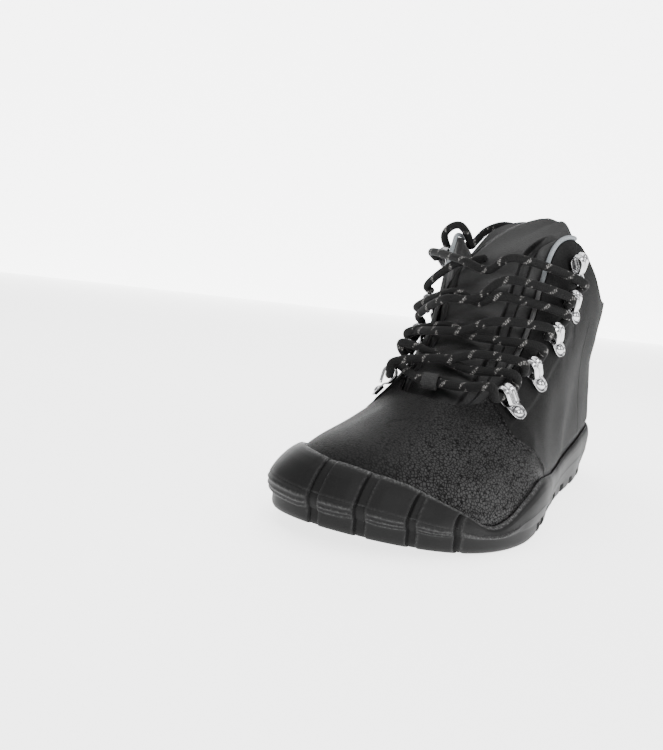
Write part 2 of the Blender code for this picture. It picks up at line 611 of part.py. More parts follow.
# Lace hooks and lace
def hook_mesh(chrome, guides):
    """A strip folded over at one end to hold the lace, with a domed rivet at the other."""
    along = HOOK_LENGTH / 2 - HOOK_ROLL
    centre = [(-HOOK_LENGTH / 2, HOOK_PLATE / 2), (along, HOOK_PLATE / 2)]
    for k in range(1, 7):
        a = math.radians(-90 + k * 39)
        centre.append((along + HOOK_ROLL * math.cos(a), HOOK_PLATE / 2 + HOOK_ROLL * (1 + math.sin(a))))
    left, right = [], []
    for k, p in enumerate(centre):
        a, b = Vector(centre[max(0, k - 1)]), Vector(centre[min(len(centre) - 1, k + 1)])
        side = (b - a).normalized().orthogonal() * HOOK_PLATE / 2
        left.append(Vector(p) + side)
        right.append(Vector(p) - side)
    bm = bmesh.new()
    outline = left + right[::-1]
    base = bm.faces.new([bm.verts.new((p.x, -HOOK_WIDTH / 2, p.y)) for p in outline])
    made = bmesh.ops.extrude_face_region(bm, geom=[base])
    moved = [g for g in made["geom"] if isinstance(g, bmesh.types.BMVert)]
    bmesh.ops.translate(bm, verts=moved, vec=(0, HOOK_WIDTH, 0))
    bmesh.ops.recalc_face_normals(bm, faces=bm.faces)
    strip = mesh_from(bm, "hook_strip")
    dome = bmesh.new()
    rivet = Matrix.Translation((-HOOK_LENGTH * .27, 0, HOOK_PLATE * .8)) @ Matrix.Diagonal((1, 1, .55, 1))
    bmesh.ops.create_uvsphere(dome, u_segments=8, v_segments=5, radius=HOOK_WIDTH * .40, matrix=rivet)
    dome_mesh = mesh_from(dome, "hook_rivet")
    whole = union("hook_pattern", strip, dome_mesh, chrome, guides, guides)
    bpy.context.view_layer.update()
    mesh = bpy.data.meshes.new_from_object(whole.evaluated_get(bpy.context.evaluated_depsgraph_get()))
    for ob in (whole, bpy.data.objects["hook_pattern_join"]):
        bpy.data.objects.remove(ob)
    return mesh


def hook_frame(row):
    """Where a hook lies: middle of its plate, and its along, side and outward directions."""
    name, u_rivet, v_rivet, u_mouth, v_mouth = row
    rivet = surface(u_rivet, v_rivet) + outward(u_rivet, v_rivet) * relief(u_rivet, v_rivet)
    mouth = surface(u_mouth, v_mouth) + outward(u_mouth, v_mouth) * relief(u_mouth, v_mouth)
    u, v = (u_rivet + u_mouth) / 2, (v_rivet + v_mouth) / 2
    middle = surface(u, v) + outward(u, v) * relief(u, v)
    along = Vector(mouth - rivet).normalized()
    out = Vector(outward(u, v))
    out = (out - along * out.dot(along)).normalized()
    return Vector(middle) + out * (GAP + HOOK_STAND), along, out.cross(along), out


def make_hooks(parts, guides, chrome):
    mesh = hook_mesh(chrome, guides)
    for row in HOOKS:
        ob = bpy.data.objects.new(row[0], mesh)
        parts.objects.link(ob)
        place, along, side, out = hook_frame(row)
        turn = Matrix((along, side, out)).transposed().to_4x4()
        ob.matrix_world = Matrix.Translation(place) @ turn


def hook_mouth(index, above):
    """Middle of the lace beside a hook's mouth, on its upper (1) or lower (-1) side."""
    place, along, side, out = hook_frame(HOOKS[index])
    up = side if side.z > 0 else -side
    mouth = place + along * (HOOK_LENGTH / 2 - HOOK_ROLL) + out * (HOOK_PLATE / 2 + HOOK_ROLL)
    return mouth + up * above * (HOOK_WIDTH / 2 + LACE / 2 + 2 * GAP), along, up * above, out


def over_tongue(s, t, more=0.0):
    p, n = tongue_point(s, t)
    return p + n * (LACE_LIFT + more)


def off_hook(index, above):
    """A run's first points: beside the mouth, then out past the eyestay's edge."""
    start, along, away, out = hook_mouth(index, above)
    return [start, start + along * LACE * 1.2 + away * LACE * .25 + out * LACE * .6]


def strand(first, above_first, s_first, last, above_last, s_last, lift, edge_rise=EDGE_RISE):
    """Route of one lace run between two hooks, over the tongue."""
    sag = LACE_SAG * ((s_first + s_last) / 2 - BASE_SECTION)
    inner = [over_tongue(s_first + (s_last - s_first) * t - sag * (1 - (2 * t - 1) ** 2), .12 + .76 * t,
                         lift + edge_rise * (2 * t - 1) ** 2) for t in (.28, .5, .72)]
    return smooth_path(off_hook(first, above_first) + inner + off_hook(last, above_last)[::-1], 2)


def make_laces(parts, guides, cord_finish, webbing):
    base = strand(0, -1, BASE_SECTION, 5, -1, BASE_SECTION, .0012)
    add_object("lace_bar_base", tube_mesh("lace_bar_base", base, LACE, 8), cord_finish, parts)
    for k in range(3):
        name = f"lace_cross_{k + 1}"
        lower = tube_mesh(name, strand(k, 1, 2.15 + k, 6 + k, -1, 2.85 + k, .0006 + .0010 * k,
                                              TOP_EDGE_RISE if k == 2 else EDGE_RISE), LACE, 8)
        upper = tube_mesh(name + "_top", strand(k + 1, -1, 2.85 + k, 5 + k, 1, 2.15 + k, .0044 + .0010 * k,
                                                TOP_EDGE_RISE if k == 2 else EDGE_RISE), LACE, 8)
        union(name, lower, upper, cord_finish, parts, guides)
    top = strand(3, 1, 5.15, 9, -1, 5.55, .0062, TOP_EDGE_RISE)
    add_object("lace_bar_top", tube_mesh("lace_bar_top", top, LACE, 8), cord_finish, parts)
    tuck = smooth_path(off_hook(8, 1) + [over_tongue(*point) for point in TUCKED_END], 3)
    add_object("lace_end_tuck", tube_mesh("lace_end_tuck", tuck, LACE, 8), cord_finish, parts)
    start, along, away, out = hook_mouth(9, 1)
    arch = smooth_path([start - away * CLOSER_START] + [Vector(point) for point in FREE_END], 3)
    add_object("lace_end_arch", tube_mesh("lace_end_arch", arch, LACE, 8), cord_finish, parts)
    make_keeper(parts, webbing, base)


def make_keeper(parts, webbing, bar):
    """A band of webbing, open toward the vamp, round the middle of the lowest bar."""
    middle = len(bar) // 2
    line = (bar[middle + 1] - bar[middle - 1]).normalized()
    n = tongue_point(BASE_SECTION, .5)[1]
    n = (n - line * n.dot(line)).normalized()
    turn = Matrix((line, n.cross(line), n)).transposed().to_4x4()
    inner = LACE / 2 + 4 * GAP
    outer = inner + KEEPER_WALL
    outline = [(r * math.cos(math.radians(a)), r * math.sin(math.radians(a)))
               for r, angles in ((outer, range(-20, 201, 20)), (inner, range(200, -21, -20))) for a in angles]
    bm = bmesh.new()
    side = bm.faces.new([bm.verts.new((-KEEPER_LENGTH / 2, y, z)) for y, z in outline])
    made = bmesh.ops.extrude_face_region(bm, geom=[side])
    bmesh.ops.translate(bm, verts=[g for g in made["geom"] if isinstance(g, bmesh.types.BMVert)],
                        vec=(KEEPER_LENGTH, 0, 0))
    bmesh.ops.recalc_face_normals(bm, faces=bm.faces)
    band = add_object("lace_keeper", mesh_from(bm, "lace_keeper"), webbing, parts)
    band.matrix_world = Matrix.Translation(bar[middle]) @ turn


def build():
    for ob in list(bpy.data.objects):
        bpy.data.objects.remove(ob)
    parts = bpy.data.collections.new("hiking_boot")
    guides = bpy.data.collections.new("cutters")
    for collection in (parts, guides):
        bpy.context.scene.collection.children.link(collection)
    rubber = material("rubber", RUBBER_COLOUR, .62)
    leather = material("leather", LEATHER_COLOUR, .5)
    reflective = material("reflective_piping", PIPING_COLOUR, .5)
    chrome = material("chrome", CHROME_COLOUR, .14, 1.0)
    cord_finish = material("lace_cord", LACE_COLOUR, .85)
    fabric = material("insole_fabric", FABRIC_COLOUR, .9)
    make_sole(parts, guides, rubber)
    make_upper(parts, leather)
    make_insole(parts, fabric)
    make_tongue(parts, leather)
    make_piping(parts, reflective)
    make_hooks(parts, guides, chrome)
    make_laces(parts, guides, cord_finish, fabric)
    origin = bpy.data.objects.new("heel_back", None)
    bpy.context.scene.collection.objects.link(origin)
    origin.location = (-HEEL_SPOT[0], -HEEL_SPOT[1], 0)
    for ob in list(parts.objects) + list(guides.objects):
        ob.parent = origin
    bpy.context.view_layer.update()


build()
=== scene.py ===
# Left hiking boot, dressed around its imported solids.
# Frame: +X to the toe, +Y to the little-toe side, +Z up, origin under the heel on the floor.
import math

import bpy
import numpy as np
from mathutils import Matrix, Vector


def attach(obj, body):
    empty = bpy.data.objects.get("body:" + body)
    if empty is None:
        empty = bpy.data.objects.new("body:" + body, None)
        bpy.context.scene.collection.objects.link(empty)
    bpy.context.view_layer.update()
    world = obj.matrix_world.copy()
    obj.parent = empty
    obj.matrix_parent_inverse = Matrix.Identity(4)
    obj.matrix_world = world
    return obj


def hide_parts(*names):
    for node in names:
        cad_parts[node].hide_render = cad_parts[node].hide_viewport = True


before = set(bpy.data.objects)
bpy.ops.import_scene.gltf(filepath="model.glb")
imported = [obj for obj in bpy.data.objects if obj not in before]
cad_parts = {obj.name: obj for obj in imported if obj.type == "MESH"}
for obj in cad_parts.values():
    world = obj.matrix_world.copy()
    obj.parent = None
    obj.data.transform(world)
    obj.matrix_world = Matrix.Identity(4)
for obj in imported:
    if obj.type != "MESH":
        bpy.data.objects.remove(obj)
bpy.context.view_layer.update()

# Camera: it looks at the little-toe side of the front from just above the floor,
# and is rolled a little, as the picture is.
HEEL_SPOT = np.array((0.0490, -0.0080, 0))   # the origin, measured from the back of the heel
AIM = np.array((0.180, 0.005, 0.050)) - HEEL_SPOT
CAMERA_TURN, CAMERA_RISE, CAMERA_ROLL = (math.radians(a) for a in (35.0, 7.2, 6.3))
CAMERA_DISTANCE = 0.3717
AIM_SHIFT = (0.0668, -0.0216)                # the boot sits right of and above the picture's middle
FOCAL_PIXELS, PICTURE_WIDTH, SENSOR = 700, 663, 36

camera = bpy.data.objects.new("camera", bpy.data.cameras.new("camera"))
bpy.context.scene.collection.objects.link(camera)
bpy.context.scene.camera = camera
camera.data.sensor_fit = "HORIZONTAL"
camera.data.sensor_width = SENSOR
camera.data.lens = SENSOR * FOCAL_PIXELS / PICTURE_WIDTH
camera.data.clip_start = 0.01
back = Vector((math.cos(CAMERA_TURN) * math.cos(CAMERA_RISE), math.sin(CAMERA_TURN) * math.cos(CAMERA_RISE),
               math.sin(CAMERA_RISE)))
right = Vector((-math.sin(CAMERA_TURN), math.cos(CAMERA_TURN), 0))
up = back.cross(right)
rolled_right = right * math.cos(CAMERA_ROLL) + up * math.sin(CAMERA_ROLL)
rolled_up = up * math.cos(CAMERA_ROLL) - right * math.sin(CAMERA_ROLL)
place = Vector(AIM) + back * CAMERA_DISTANCE - rolled_right * AIM_SHIFT[0] - rolled_up * AIM_SHIFT[1]
camera.matrix_world = (Matrix.Translation(place)
                       @ Matrix((rolled_right, rolled_up, back)).transposed().to_4x4())


# Shader values: an expression on them adds Math nodes, and any other node comes from Finish.node.
class Wire:
    """One shader socket that + and * and a number less it can be written with."""

    def __init__(self, finish, socket):
        self.finish = finish
        self.socket = socket

    def math(self, operation, *values):
        return self.finish.node("ShaderNodeMath", {"operation": operation}, values)

    def __add__(self, other):
        return self.math("ADD", self, other)

    def __mul__(self, other):
        return self.math("MULTIPLY", self, other)

    def __rsub__(self, other):
        return self.math("SUBTRACT", other, self)

    __radd__ = __add__
    __rmul__ = __mul__

    def over(self, low, high):
        """0 below low, 1 above high, and smooth between."""
        return self.finish.node("ShaderNodeMapRange", {"interpolation_type": "SMOOTHSTEP"},
                                {"Value": self, "From Min": low, "From Max": high})


class Finish:
    """A material with one Principled shader, whose constants are set on its own sockets."""

    def __init__(self, name, **constants):
        self.material = bpy.data.materials.new(name)
        self.material.use_nodes = True
        self.tree = self.material.node_tree
        self.shader = self.tree.nodes["Principled BSDF"]
        for word, value in constants.items():
            self.shader.inputs[word.replace("_", " ")].default_value = value

    def node(self, kind, settings, values, output=0):
        made = self.tree.nodes.new(kind)
        for word, value in settings.items():
            setattr(made, word, value)
        for key, value in values.items() if isinstance(values, dict) else enumerate(values):
            if isinstance(value, Wire):
                self.tree.links.new(value.socket, made.inputs[key])
            else:
                made.inputs[key].default_value = value
        return Wire(self, made.outputs[output])

    def spot(self):
        return self.node("ShaderNodeTexCoord", {}, {}, "Object")

    def mask(self, name):
        return self.node("ShaderNodeAttribute", {"attribute_name": name}, {}, "Fac")

    def noise(self, size, detail=3.0, roughness=.5):
        return self.node("ShaderNodeTexNoise", {},
                         {"Vector": self.spot(), "Scale": 1 / size, "Detail": detail,
                          "Roughness": roughness})

    def cells(self, size, feature="F1", randomness=1.0, where=None):
        return self.node("ShaderNodeTexVoronoi", {"feature": feature},
                         {"Vector": where or self.spot(), "Scale": 1 / size, "Randomness": randomness})

    def mix(self, share, first, second):
        return self.node("ShaderNodeMix", {"data_type": "RGBA"}, {0: share, 6: first, 7: second}, 2)

    def feed(self, word, value):
        self.tree.links.new(value.socket, self.shader.inputs[word])

    def bump(self, height, depth, below=None):
        values = {"Height": height, "Distance": depth, "Strength": 1.0}
        if below is not None:
            values["Normal"] = below
        return self.node("ShaderNodeBump", {}, values)


def grey(level, warm=0.0):
    return (level * (1 + warm), level, level * (1 - warm), 1)


# Floor and light: a white floor and backdrop that glow a little, under soft studio lights from above
# and from the little-toe side.
FLOOR_HALF = 6.0
FLOOR_DROP = 0.0002
LIGHTS = (("overhead", (0.10, -0.10, 1.10), 1.2, 12), ("front_right", (0.70, 0.85, 0.75), 0.5, 7),
          ("right_rear", (-0.30, 0.95, 0.55), 0.6, 4))
SKY_STRENGTH = 0.5
BACKDROP_AWAY, BACKDROP_HALF, BACKDROP_GLOW = 3.2, 2.1, 4.6
FLOOR_GLOW = 2.7


def studio_sheet(name, corners, base, glow):
    """A flat white sheet of the studio that gives off some light."""
    sheet_finish = Finish(name, Roughness=.9, Emission_Strength=glow)
    sheet_finish.shader.inputs["Base Color"].default_value = base
    sheet_finish.shader.inputs["Emission Color"].default_value = grey(1.0)
    mesh = bpy.data.meshes.new(name)
    mesh.from_pydata(corners, [], [(0, 1, 2, 3)])
    mesh.materials.append(sheet_finish.material)
    sheet = bpy.data.objects.new(name, mesh)
    bpy.context.scene.collection.objects.link(sheet)


studio_sheet("floor", [(x, y, -FLOOR_DROP) for x, y in ((-FLOOR_HALF, -FLOOR_HALF), (FLOOR_HALF, -FLOOR_HALF),
                                                        (FLOOR_HALF, FLOOR_HALF), (-FLOOR_HALF, FLOOR_HALF))],
             grey(.93), FLOOR_GLOW)
far = Vector(AIM) - Vector((back.x, back.y, 0)).normalized() * BACKDROP_AWAY
foot, top = Vector((0, 0, -.1)), Vector((0, 0, 2.2))
beside = right * BACKDROP_HALF
studio_sheet("backdrop", [far - beside + foot, far + beside + foot, far + beside + top, far - beside + top],
             grey(.8), BACKDROP_GLOW)
for name, spot, size, power in LIGHTS:
    lamp = bpy.data.lights.new(name, "AREA")
    lamp.size = size
    lamp.energy = power
    holder = bpy.data.objects.new(name, lamp)
    bpy.context.scene.collection.objects.link(holder)
    holder.location = spot
    holder.rotation_euler = (Vector(AIM) - Vector(spot)).to_track_quat("-Z", "Y").to_euler()
sky = bpy.data.worlds.new("sky")
sky.use_nodes = True
sky.node_tree.nodes["Background"].inputs["Color"].default_value = grey(1.0)
sky.node_tree.nodes["Background"].inputs["Strength"].default_value = SKY_STRENGTH
bpy.context.scene.world = sky

# Last: the form that the leather is pulled over and the rubber cup is moulded round.
# Rows go round the foot from the heel over the little toe. Columns: name, height it follows, then x, y
# (and z) of the feather edge, widest point, middle, upper and opening edge, and the rubber's top edge.
# x is a share of LENGTH, y of BALL_WIDTH, z of the height above the board, the last of RIM_HEIGHT.
LENGTH, BALL_WIDTH, RIM_HEIGHT = 0.283, 0.110, 0.0285
SOLE_THICKNESS = 0.0075
HEIGHTS = {"back": 0.1115, "front": 0.1425, "instep": 0.0525}
STATIONS = [
    ("heel_back", "back", .021, 0, .004, 0, .184,
     .011, 0, .471, .032, 0, .758, .018, 0, 1.0, 1.0),
    ("heel_lat", "back", .067, .209, .049, .236, .184,
     .060, .218, .471, .081, .205, .758, .074, .236, 1.0, .965),
    ("ankle_lat", "back", .177, .282, .177, .305, .184,
     .187, .300, .471, .198, .303, .758, .194, .312, 1.018, .825),
    ("quarter_lat", "front", .304, .318, .304, .341, .144,
     .307, .330, .382, .311, .329, .684, .311, .333, .902, .65),
    ("collar_lat", "front", .382, .341, .382, .368, .130,
     .382, .352, .368, .389, .332, .705, .396, .291, 1.0, .58),
    ("hook_lat_5", "front", .431, .364, .431, .391, .123,
     .431, .364, .354, .438, .336, .677, .442, .241, .965, .544),
    ("hook_lat_4", "front", .481, .386, .481, .414, .116,
     .481, .377, .326, .481, .327, .579, .481, .232, .811, .544),
    ("hook_lat_3", "front", .530, .414, .530, .441, .109,
     .530, .391, .298, .527, .327, .495, .523, .245, .663, .579),
    ("hook_lat_2", "front", .587, .450, .587, .473, .102,
     .583, .409, .263, .576, .327, .411, .572, .245, .537, .65),
    ("ball_lat", "front", .650, .477, .650, .500, .095,
     .647, .427, .242, .640, .323, .354, .629, .236, .439, .684),
    ("little_toe", "instep", .721, .486, .721, .500, .219,
     .714, .427, .543, .696, .291, .829, .675, .182, 1.0, .474),
    ("fifth_toe", "instep", .799, .445, .799, .455, .200,
     .781, .382, .505, .742, .236, .771, .696, .118, .962, .175),
    ("fourth_toe", "instep", .869, .359, .873, .364, .200,
     .841, .300, .524, .781, .164, .771, .707, .064, .981, .474),
    ("third_toe", "instep", .926, .227, .929, .232, .219,
     .890, .191, .562, .813, .091, .771, .710, .009, .990, .754),
    ("second_toe", "instep", .965, .073, .970, .073, .257,
     .926, .055, .581, .834, .009, .781, .710, -.045, 1.0, .895),
    ("big_toe_tip", "instep", .986, -.109, .993, -.118, .276,
     .943, -.109, .581, .841, -.073, .781, .707, -.100, 1.0, .965),
    ("big_toe_med", "instep", .965, -.300, .970, -.309, .276,
     .916, -.256, .581, .827, -.173, .771, .703, -.145, 1.0, .965),
    ("toe_side_med", "instep", .898, -.418, .901, -.434, .257,
     .862, -.348, .562, .788, -.255, .762, .693, -.191, 1.0, .86),
    ("ball_med", "instep", .795, -.436, .795, -.455, .257,
     .777, -.388, .581, .728, -.300, .829, .671, -.236, 1.02, .65),
    ("joint_med", "front", .707, -.418, .707, -.445, .102,
     .696, -.390, .242, .664, -.320, .340, .629, -.265, .432, .51),
    ("hook_med_2", "front", .608, -.345, .608, -.385, .116,
     .601, -.365, .284, .583, -.325, .425, .565, -.270, .544, .544),
    ("hook_med_3", "front", .523, -.291, .523, -.335, .123,
     .523, -.345, .326, .519, -.332, .509, .516, -.288, .677, .579),
    ("hook_med_4", "front", .445, -.255, .445, -.300, .130,
     .449, -.345, .368, .463, -.348, .635, .463, -.325, .860, .614),
    ("collar_med", "front", .375, -.241, .375, -.285, .137,
     .378, -.330, .382, .399, -.356, .705, .406, -.350, .993, .65),
    ("quarter_med", "front", .290, -.236, .290, -.278, .144,
     .297, -.312, .382, .311, -.334, .684, .311, -.338, .895, .72),
    ("ankle_med", "back", .177, -.245, .177, -.286, .184,
     .187, -.295, .471, .198, -.305, .758, .194, -.312, 1.018, .825),
    ("heel_med", "back", .067, -.195, .049, -.227, .184,
     .060, -.218, .471, .081, -.209, .758, .074, -.245, 1.0, .965),
]
COUNT = len(STATIONS)
KNOTS = np.array((0, .22, .5, .78, 1.0))     # where the five profile points lie up the wall
SPANS = np.diff(KNOTS)
TOE_SPRING, HEEL_LIFT, ARCH_LIFT = 0.009, 0.002, 0.0025
ARCH_PANEL = (.385, -.330, .170, .270)       # centre x, y and half length, half width, as shares


def ground(x, y):
    """Height of the tread's plane over the floor, for points measured from the back of the heel."""
    toe = np.maximum(0, (x / LENGTH - .724) / .276)
    heel = np.maximum(0, (.078 - x / LENGTH) / .078)
    along = (x / LENGTH - ARCH_PANEL[0]) / (ARCH_PANEL[2] * 1.1)
    across = (y / BALL_WIDTH - ARCH_PANEL[1]) / (ARCH_PANEL[3] * 1.1)
    arch = np.maximum(0, 1 - along ** 2 - across ** 2)
    return TOE_SPRING * toe ** 2 + HEEL_LIFT * heel ** 2 + ARCH_LIFT * arch ** 2 * 1.5


def profile_points(row):
    height = HEIGHTS[row[1]]
    values = row[2:]
    foot = (values[0] * LENGTH, values[1] * BALL_WIDTH)
    points = [(foot[0], foot[1], ground(*foot) + SOLE_THICKNESS)]
    for k in range(4):
        x, y, z = values[2 + 3 * k: 5 + 3 * k]
        points.append((x * LENGTH, y * BALL_WIDTH, SOLE_THICKNESS + z * height))
    return points


LAST = np.array([profile_points(row) for row in STATIONS])
RIM = np.array([SOLE_THICKNESS + row[-1] * RIM_HEIGHT for row in STATIONS])


def between(a, b, c, d, t):
    """A smooth curve from b to c, with a before it and d after it."""
    return .5 * (2 * b + (c - a) * t + (2 * a - 5 * b + 4 * c - d) * t ** 2
                 + (3 * b - a - 3 * c + d) * t ** 3)


def round_the_foot(u, table):
    """A smooth closed curve through the stations' values."""
    u = np.asarray(u, float)
    i = np.floor(u).astype(int)
    t = (u - i).reshape(u.shape + (1,) * (table.ndim - 1))
    return between(*(table[(i + k) % COUNT] for k in (-1, 0, 1, 2)), t)


def surface(u, v):
    """Face of the last: u round the foot in stations, v up the wall from 0 to 1."""
    u, v = np.broadcast_arrays(np.asarray(u, float), np.asarray(v, float))
    points = round_the_foot(u, LAST)
    chords = (points[..., 1:, :] - points[..., :-1, :]) / SPANS[:, None]
    slopes = np.concatenate((
        chords[..., :1, :],
        (chords[..., :-1, :] * SPANS[1:, None] + chords[..., 1:, :] * SPANS[:-1, None])
        / (SPANS[1:] + SPANS[:-1])[:, None],
        chords[..., -1:, :]), axis=-2)
    k = np.clip(np.searchsorted(KNOTS, v, side="right") - 1, 0, 3)
    h = SPANS[k][..., None]
    s = ((v - KNOTS[k]) / SPANS[k])[..., None]

    def pick(values, index):
        return np.take_along_axis(values, index[..., None, None], axis=-2)[..., 0, :]

    return ((2 * s ** 3 - 3 * s ** 2 + 1) * pick(points, k)
            + (s ** 3 - 2 * s ** 2 + s) * h * pick(slopes, k)
            + (3 * s ** 2 - 2 * s ** 3) * pick(points, k + 1)
            + (s ** 3 - s ** 2) * h * pick(slopes, k + 1))


def unit(vectors):
    return vectors / np.linalg.norm(vectors, axis=-1, keepdims=True)


def outward(u, v):
    small = .001
    round_foot = surface(u + small, v) - surface(u - small, v)
    up_wall = surface(u, np.minimum(1, v + small)) - surface(u, np.maximum(0, v - small))
    return unit(np.cross(up_wall, round_foot))


def ramp(x, start, end):
    t = np.clip((x - start) / (end - start), 0, 1)
    return t * t * (3 - 2 * t)


def station_range(u, start, end, soft):
    """1 between two stations and 0 outside, with soft ends; start may lie behind the heel."""
    u = np.where(u > end + soft + 1, u - COUNT, u)
    return ramp(u, start - soft, start) * (1 - ramp(u, end, end + soft))


def rim_height_share(u):
    """How far up the wall the rubber's edge lies."""
    target = round_the_foot(u, RIM)
    low, high = np.zeros_like(target), np.full_like(target, .8)
    for _ in range(24):
        middle = (low + high) / 2
        below = surface(u, middle)[..., 2] < target
        low, high = np.where(below, middle, low), np.where(below, high, middle)
    return low


RIM_SHARES = rim_height_share(np.arange(COUNT, dtype=float))
QUARTER_STEP, EYESTAY_STEP, CUFF_SWELL = 0.0009, 0.0007, 0.0014


def seam_lateral(v):
    return 8.05 + 1.45 * ramp(v, .19, .70)


def seam_medial(v):
    return 20.05 - 1.35 * ramp(v, .19, .70)


def relief(u, v):
    """Steps of the upper's wall: quarter over vamp, eyestay over quarter, padded cuff."""
    rubber = round_the_foot(u, RIM_SHARES)
    quarter = station_range(u, seam_medial(v) - COUNT, seam_lateral(v), .12)
    quarter = quarter * ramp(v, rubber + .02, rubber + .06)
    eyestay = np.maximum(station_range(u, 4.1, 9.35, .12), station_range(u, 18.75, 23.0, .12))
    eyestay = eyestay * ramp(v, .70, .74)
    cuff = station_range(u, -4.1, 3.8, .3) * ramp(v, .66, .82) * (1 - .5 * ramp(v, .93, 1))
    return QUARTER_STEP * quarter + EYESTAY_STEP * eyestay + CUFF_SWELL * cuff


# Lace: a round black braided cord with pairs of light flecks. It is hooked up from the bar at the foot
# of the throat, one end is tucked beside the tongue and the other arches over the collar's corner.
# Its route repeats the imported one, with the cord carried through each hook.
GAP = 0.0003
LEATHER = 0.0022
LACE = 0.0048
HOOK_PLATE, HOOK_LENGTH, HOOK_WIDTH = 0.0010, 0.0185, 0.0088
HOOK_ROLL = LACE / 2 + 0.0008
HOOKS = [
    ("hook_lateral_1", 9.05, .74, 9.25, .93),
    ("hook_lateral_2", 7.60, .76, 7.95, .93),
    ("hook_lateral_3", 5.90, .74, 6.45, .90),
    ("hook_lateral_4", 4.55, .76, 5.25, .88),
    ("hook_lateral_5", 4.05, .87, 4.45, .955),
    ("hook_medial_1", 19.00, .74, 18.80, .93),
    ("hook_medial_2", 20.15, .76, 19.85, .93),
    ("hook_medial_3", 21.20, .74, 20.75, .90),
    ("hook_medial_4", 22.25, .76, 21.70, .88),
    ("hook_medial_5", 23.10, .87, 22.75, .955),
]
TONGUE_THICKNESS, TONGUE_WING = 0.0046, .84
# Columns: lateral and medial ring position of the opening edge, rise of the crown, lift of the whole
# section (both shares of BALL_WIDTH), and how far it reaches from the lateral to the medial edge.
TONGUE = [
    (11.6, 16.6, .020, -.058, 1.0),
    (10.6, 17.4, .030, -.034, 1.0),
    (9.25, 18.80, .046, -.004, 1.0),
    (7.95, 19.85, .056, 0, 1.0),
    (6.45, 20.75, .056, 0, 1.0),
    (5.25, 21.70, .052, 0, .94),
    (4.50, 22.70, .054, .01, .64),
    (4.30, 22.90, .056, .085, .42),
]
BASE_SECTION = 1.65
LACE_SAG, EDGE_RISE, TOP_EDGE_RISE = .20, .012, .030
CLOSER_START = 0.0004
TUCKED_END = ((5.00, .80, .0050), (5.06, .70, .0024), (5.12, .60, .0006))
FREE_END = (
    (.1160, -.0490, .1495), (.1170, -.0450, .1550), (.1160, -.0390, .1565), (.1135, -.0345, .1515),
    (.1110, -.0325, .1450), (.1090, -.0305, .1480), (.1060, -.0255, .1550), (.1030, -.0170, .1590),
    (.1000, -.0090, .1580), (.0960, -.0045, .1530), (.0930, -.0022, .1455),
)
LACE_LIFT = TONGUE_THICKNESS / 2 + LACE / 2 + 2 * GAP
BRAID_YARNS = 8                 # yarns that run each way round the cord
BRAID_PITCH = 0.0105            # length in which a yarn goes once round
BRAID_RELIEF = 0.00016
LACE_SIDES = 32
LACE_STEP = 0.00042
FLECK_PITCH = 0.0130
FLECK_LENGTH = 0.0042


def smooth_path(points, per_span):
    """Points read from a smooth curve through the route's own points."""
    p = [Vector(q) for q in points]
    p = [2 * p[0] - p[1]] + p + [2 * p[-1] - p[-2]]
    path = []
    for a, b, c, d in zip(p, p[1:], p[2:], p[3:]):
        for k in range(per_span):
            path.append(between(a, b, c, d, k / per_span))
    return path + [p[-2]]


def tongue_corners(row):
    """Seven points of the tongue's middle line across one section, from wing to wing."""
    u_lat, u_med, rise, lift, reach = row
    depth = LEATHER + 2 * GAP + TONGUE_THICKNESS / 2
    edge_lat, edge_med = (surface(u, 1) - outward(u, 1) * depth for u in (u_lat, u_med))
    wing_lat, wing_med = (surface(u, TONGUE_WING) - outward(u, TONGUE_WING) * depth for u in (u_lat, u_med))
    across = edge_med - edge_lat
    forward = unit(outward(u_lat, 1) + outward(u_med, 1))
    crown = [edge_lat + across * t + forward * rise * BALL_WIDTH * w
             for t, w in ((.25, .75), (.5, 1), (.75, .75))]
    up_ways = np.array((-.35, 0, .94)) if lift > 0 else np.array((0, 0, 1))
    return [p + up_ways * lift * BALL_WIDTH for p in [wing_lat, edge_lat] + crown + [edge_med, wing_med]]


def at_share(path, share):
    k = min(len(path) - 2, int(share * (len(path) - 1)))
    t = share * (len(path) - 1) - k
    return path[k].lerp(path[k + 1], t)


def tongue_section(row):
    path = smooth_path(tongue_corners(row), 2)
    return [at_share(path, k / (len(path) - 1) * row[4]) for k in range(len(path))]


SECTIONS = [tongue_section(row) for row in TONGUE]


def tongue_point(s, t):
    """Point and outward normal of the tongue's middle: s in sections, t from 0 lateral to 1 medial."""
    def point(s, t):
        s = min(len(SECTIONS) - 1.0, max(0.0, s))
        k = min(len(SECTIONS) - 2, int(s))
        return at_share(SECTIONS[k], t).lerp(at_share(SECTIONS[k + 1], t), s - k)
    along = point(s + .3, t) - point(s - .3, t)
    side = point(s, min(1, t + .03)) - point(s, max(0, t - .03))
    n = side.cross(along).normalized()
    return point(s, t), (n if n.x > 0 else -n)


def over_tongue(s, t, more=0.0):
    p, n = tongue_point(s, t)
    return p + n * (LACE_LIFT + more)


def hook_frame(row):
    """Middle of a hook's plate, and its along, side and outward directions."""
    name, u_rivet, v_rivet, u_mouth, v_mouth = row
    rivet = surface(u_rivet, v_rivet) + outward(u_rivet, v_rivet) * relief(u_rivet, v_rivet)
    mouth = surface(u_mouth, v_mouth) + outward(u_mouth, v_mouth) * relief(u_mouth, v_mouth)
    u, v = (u_rivet + u_mouth) / 2, (v_rivet + v_mouth) / 2
    middle = surface(u, v) + outward(u, v) * relief(u, v)
    along = Vector(mouth - rivet).normalized()
    out = Vector(outward(u, v))
    out = (out - along * out.dot(along)).normalized()
    return Vector(middle) + out * (GAP + .0007), along, out.cross(along), out


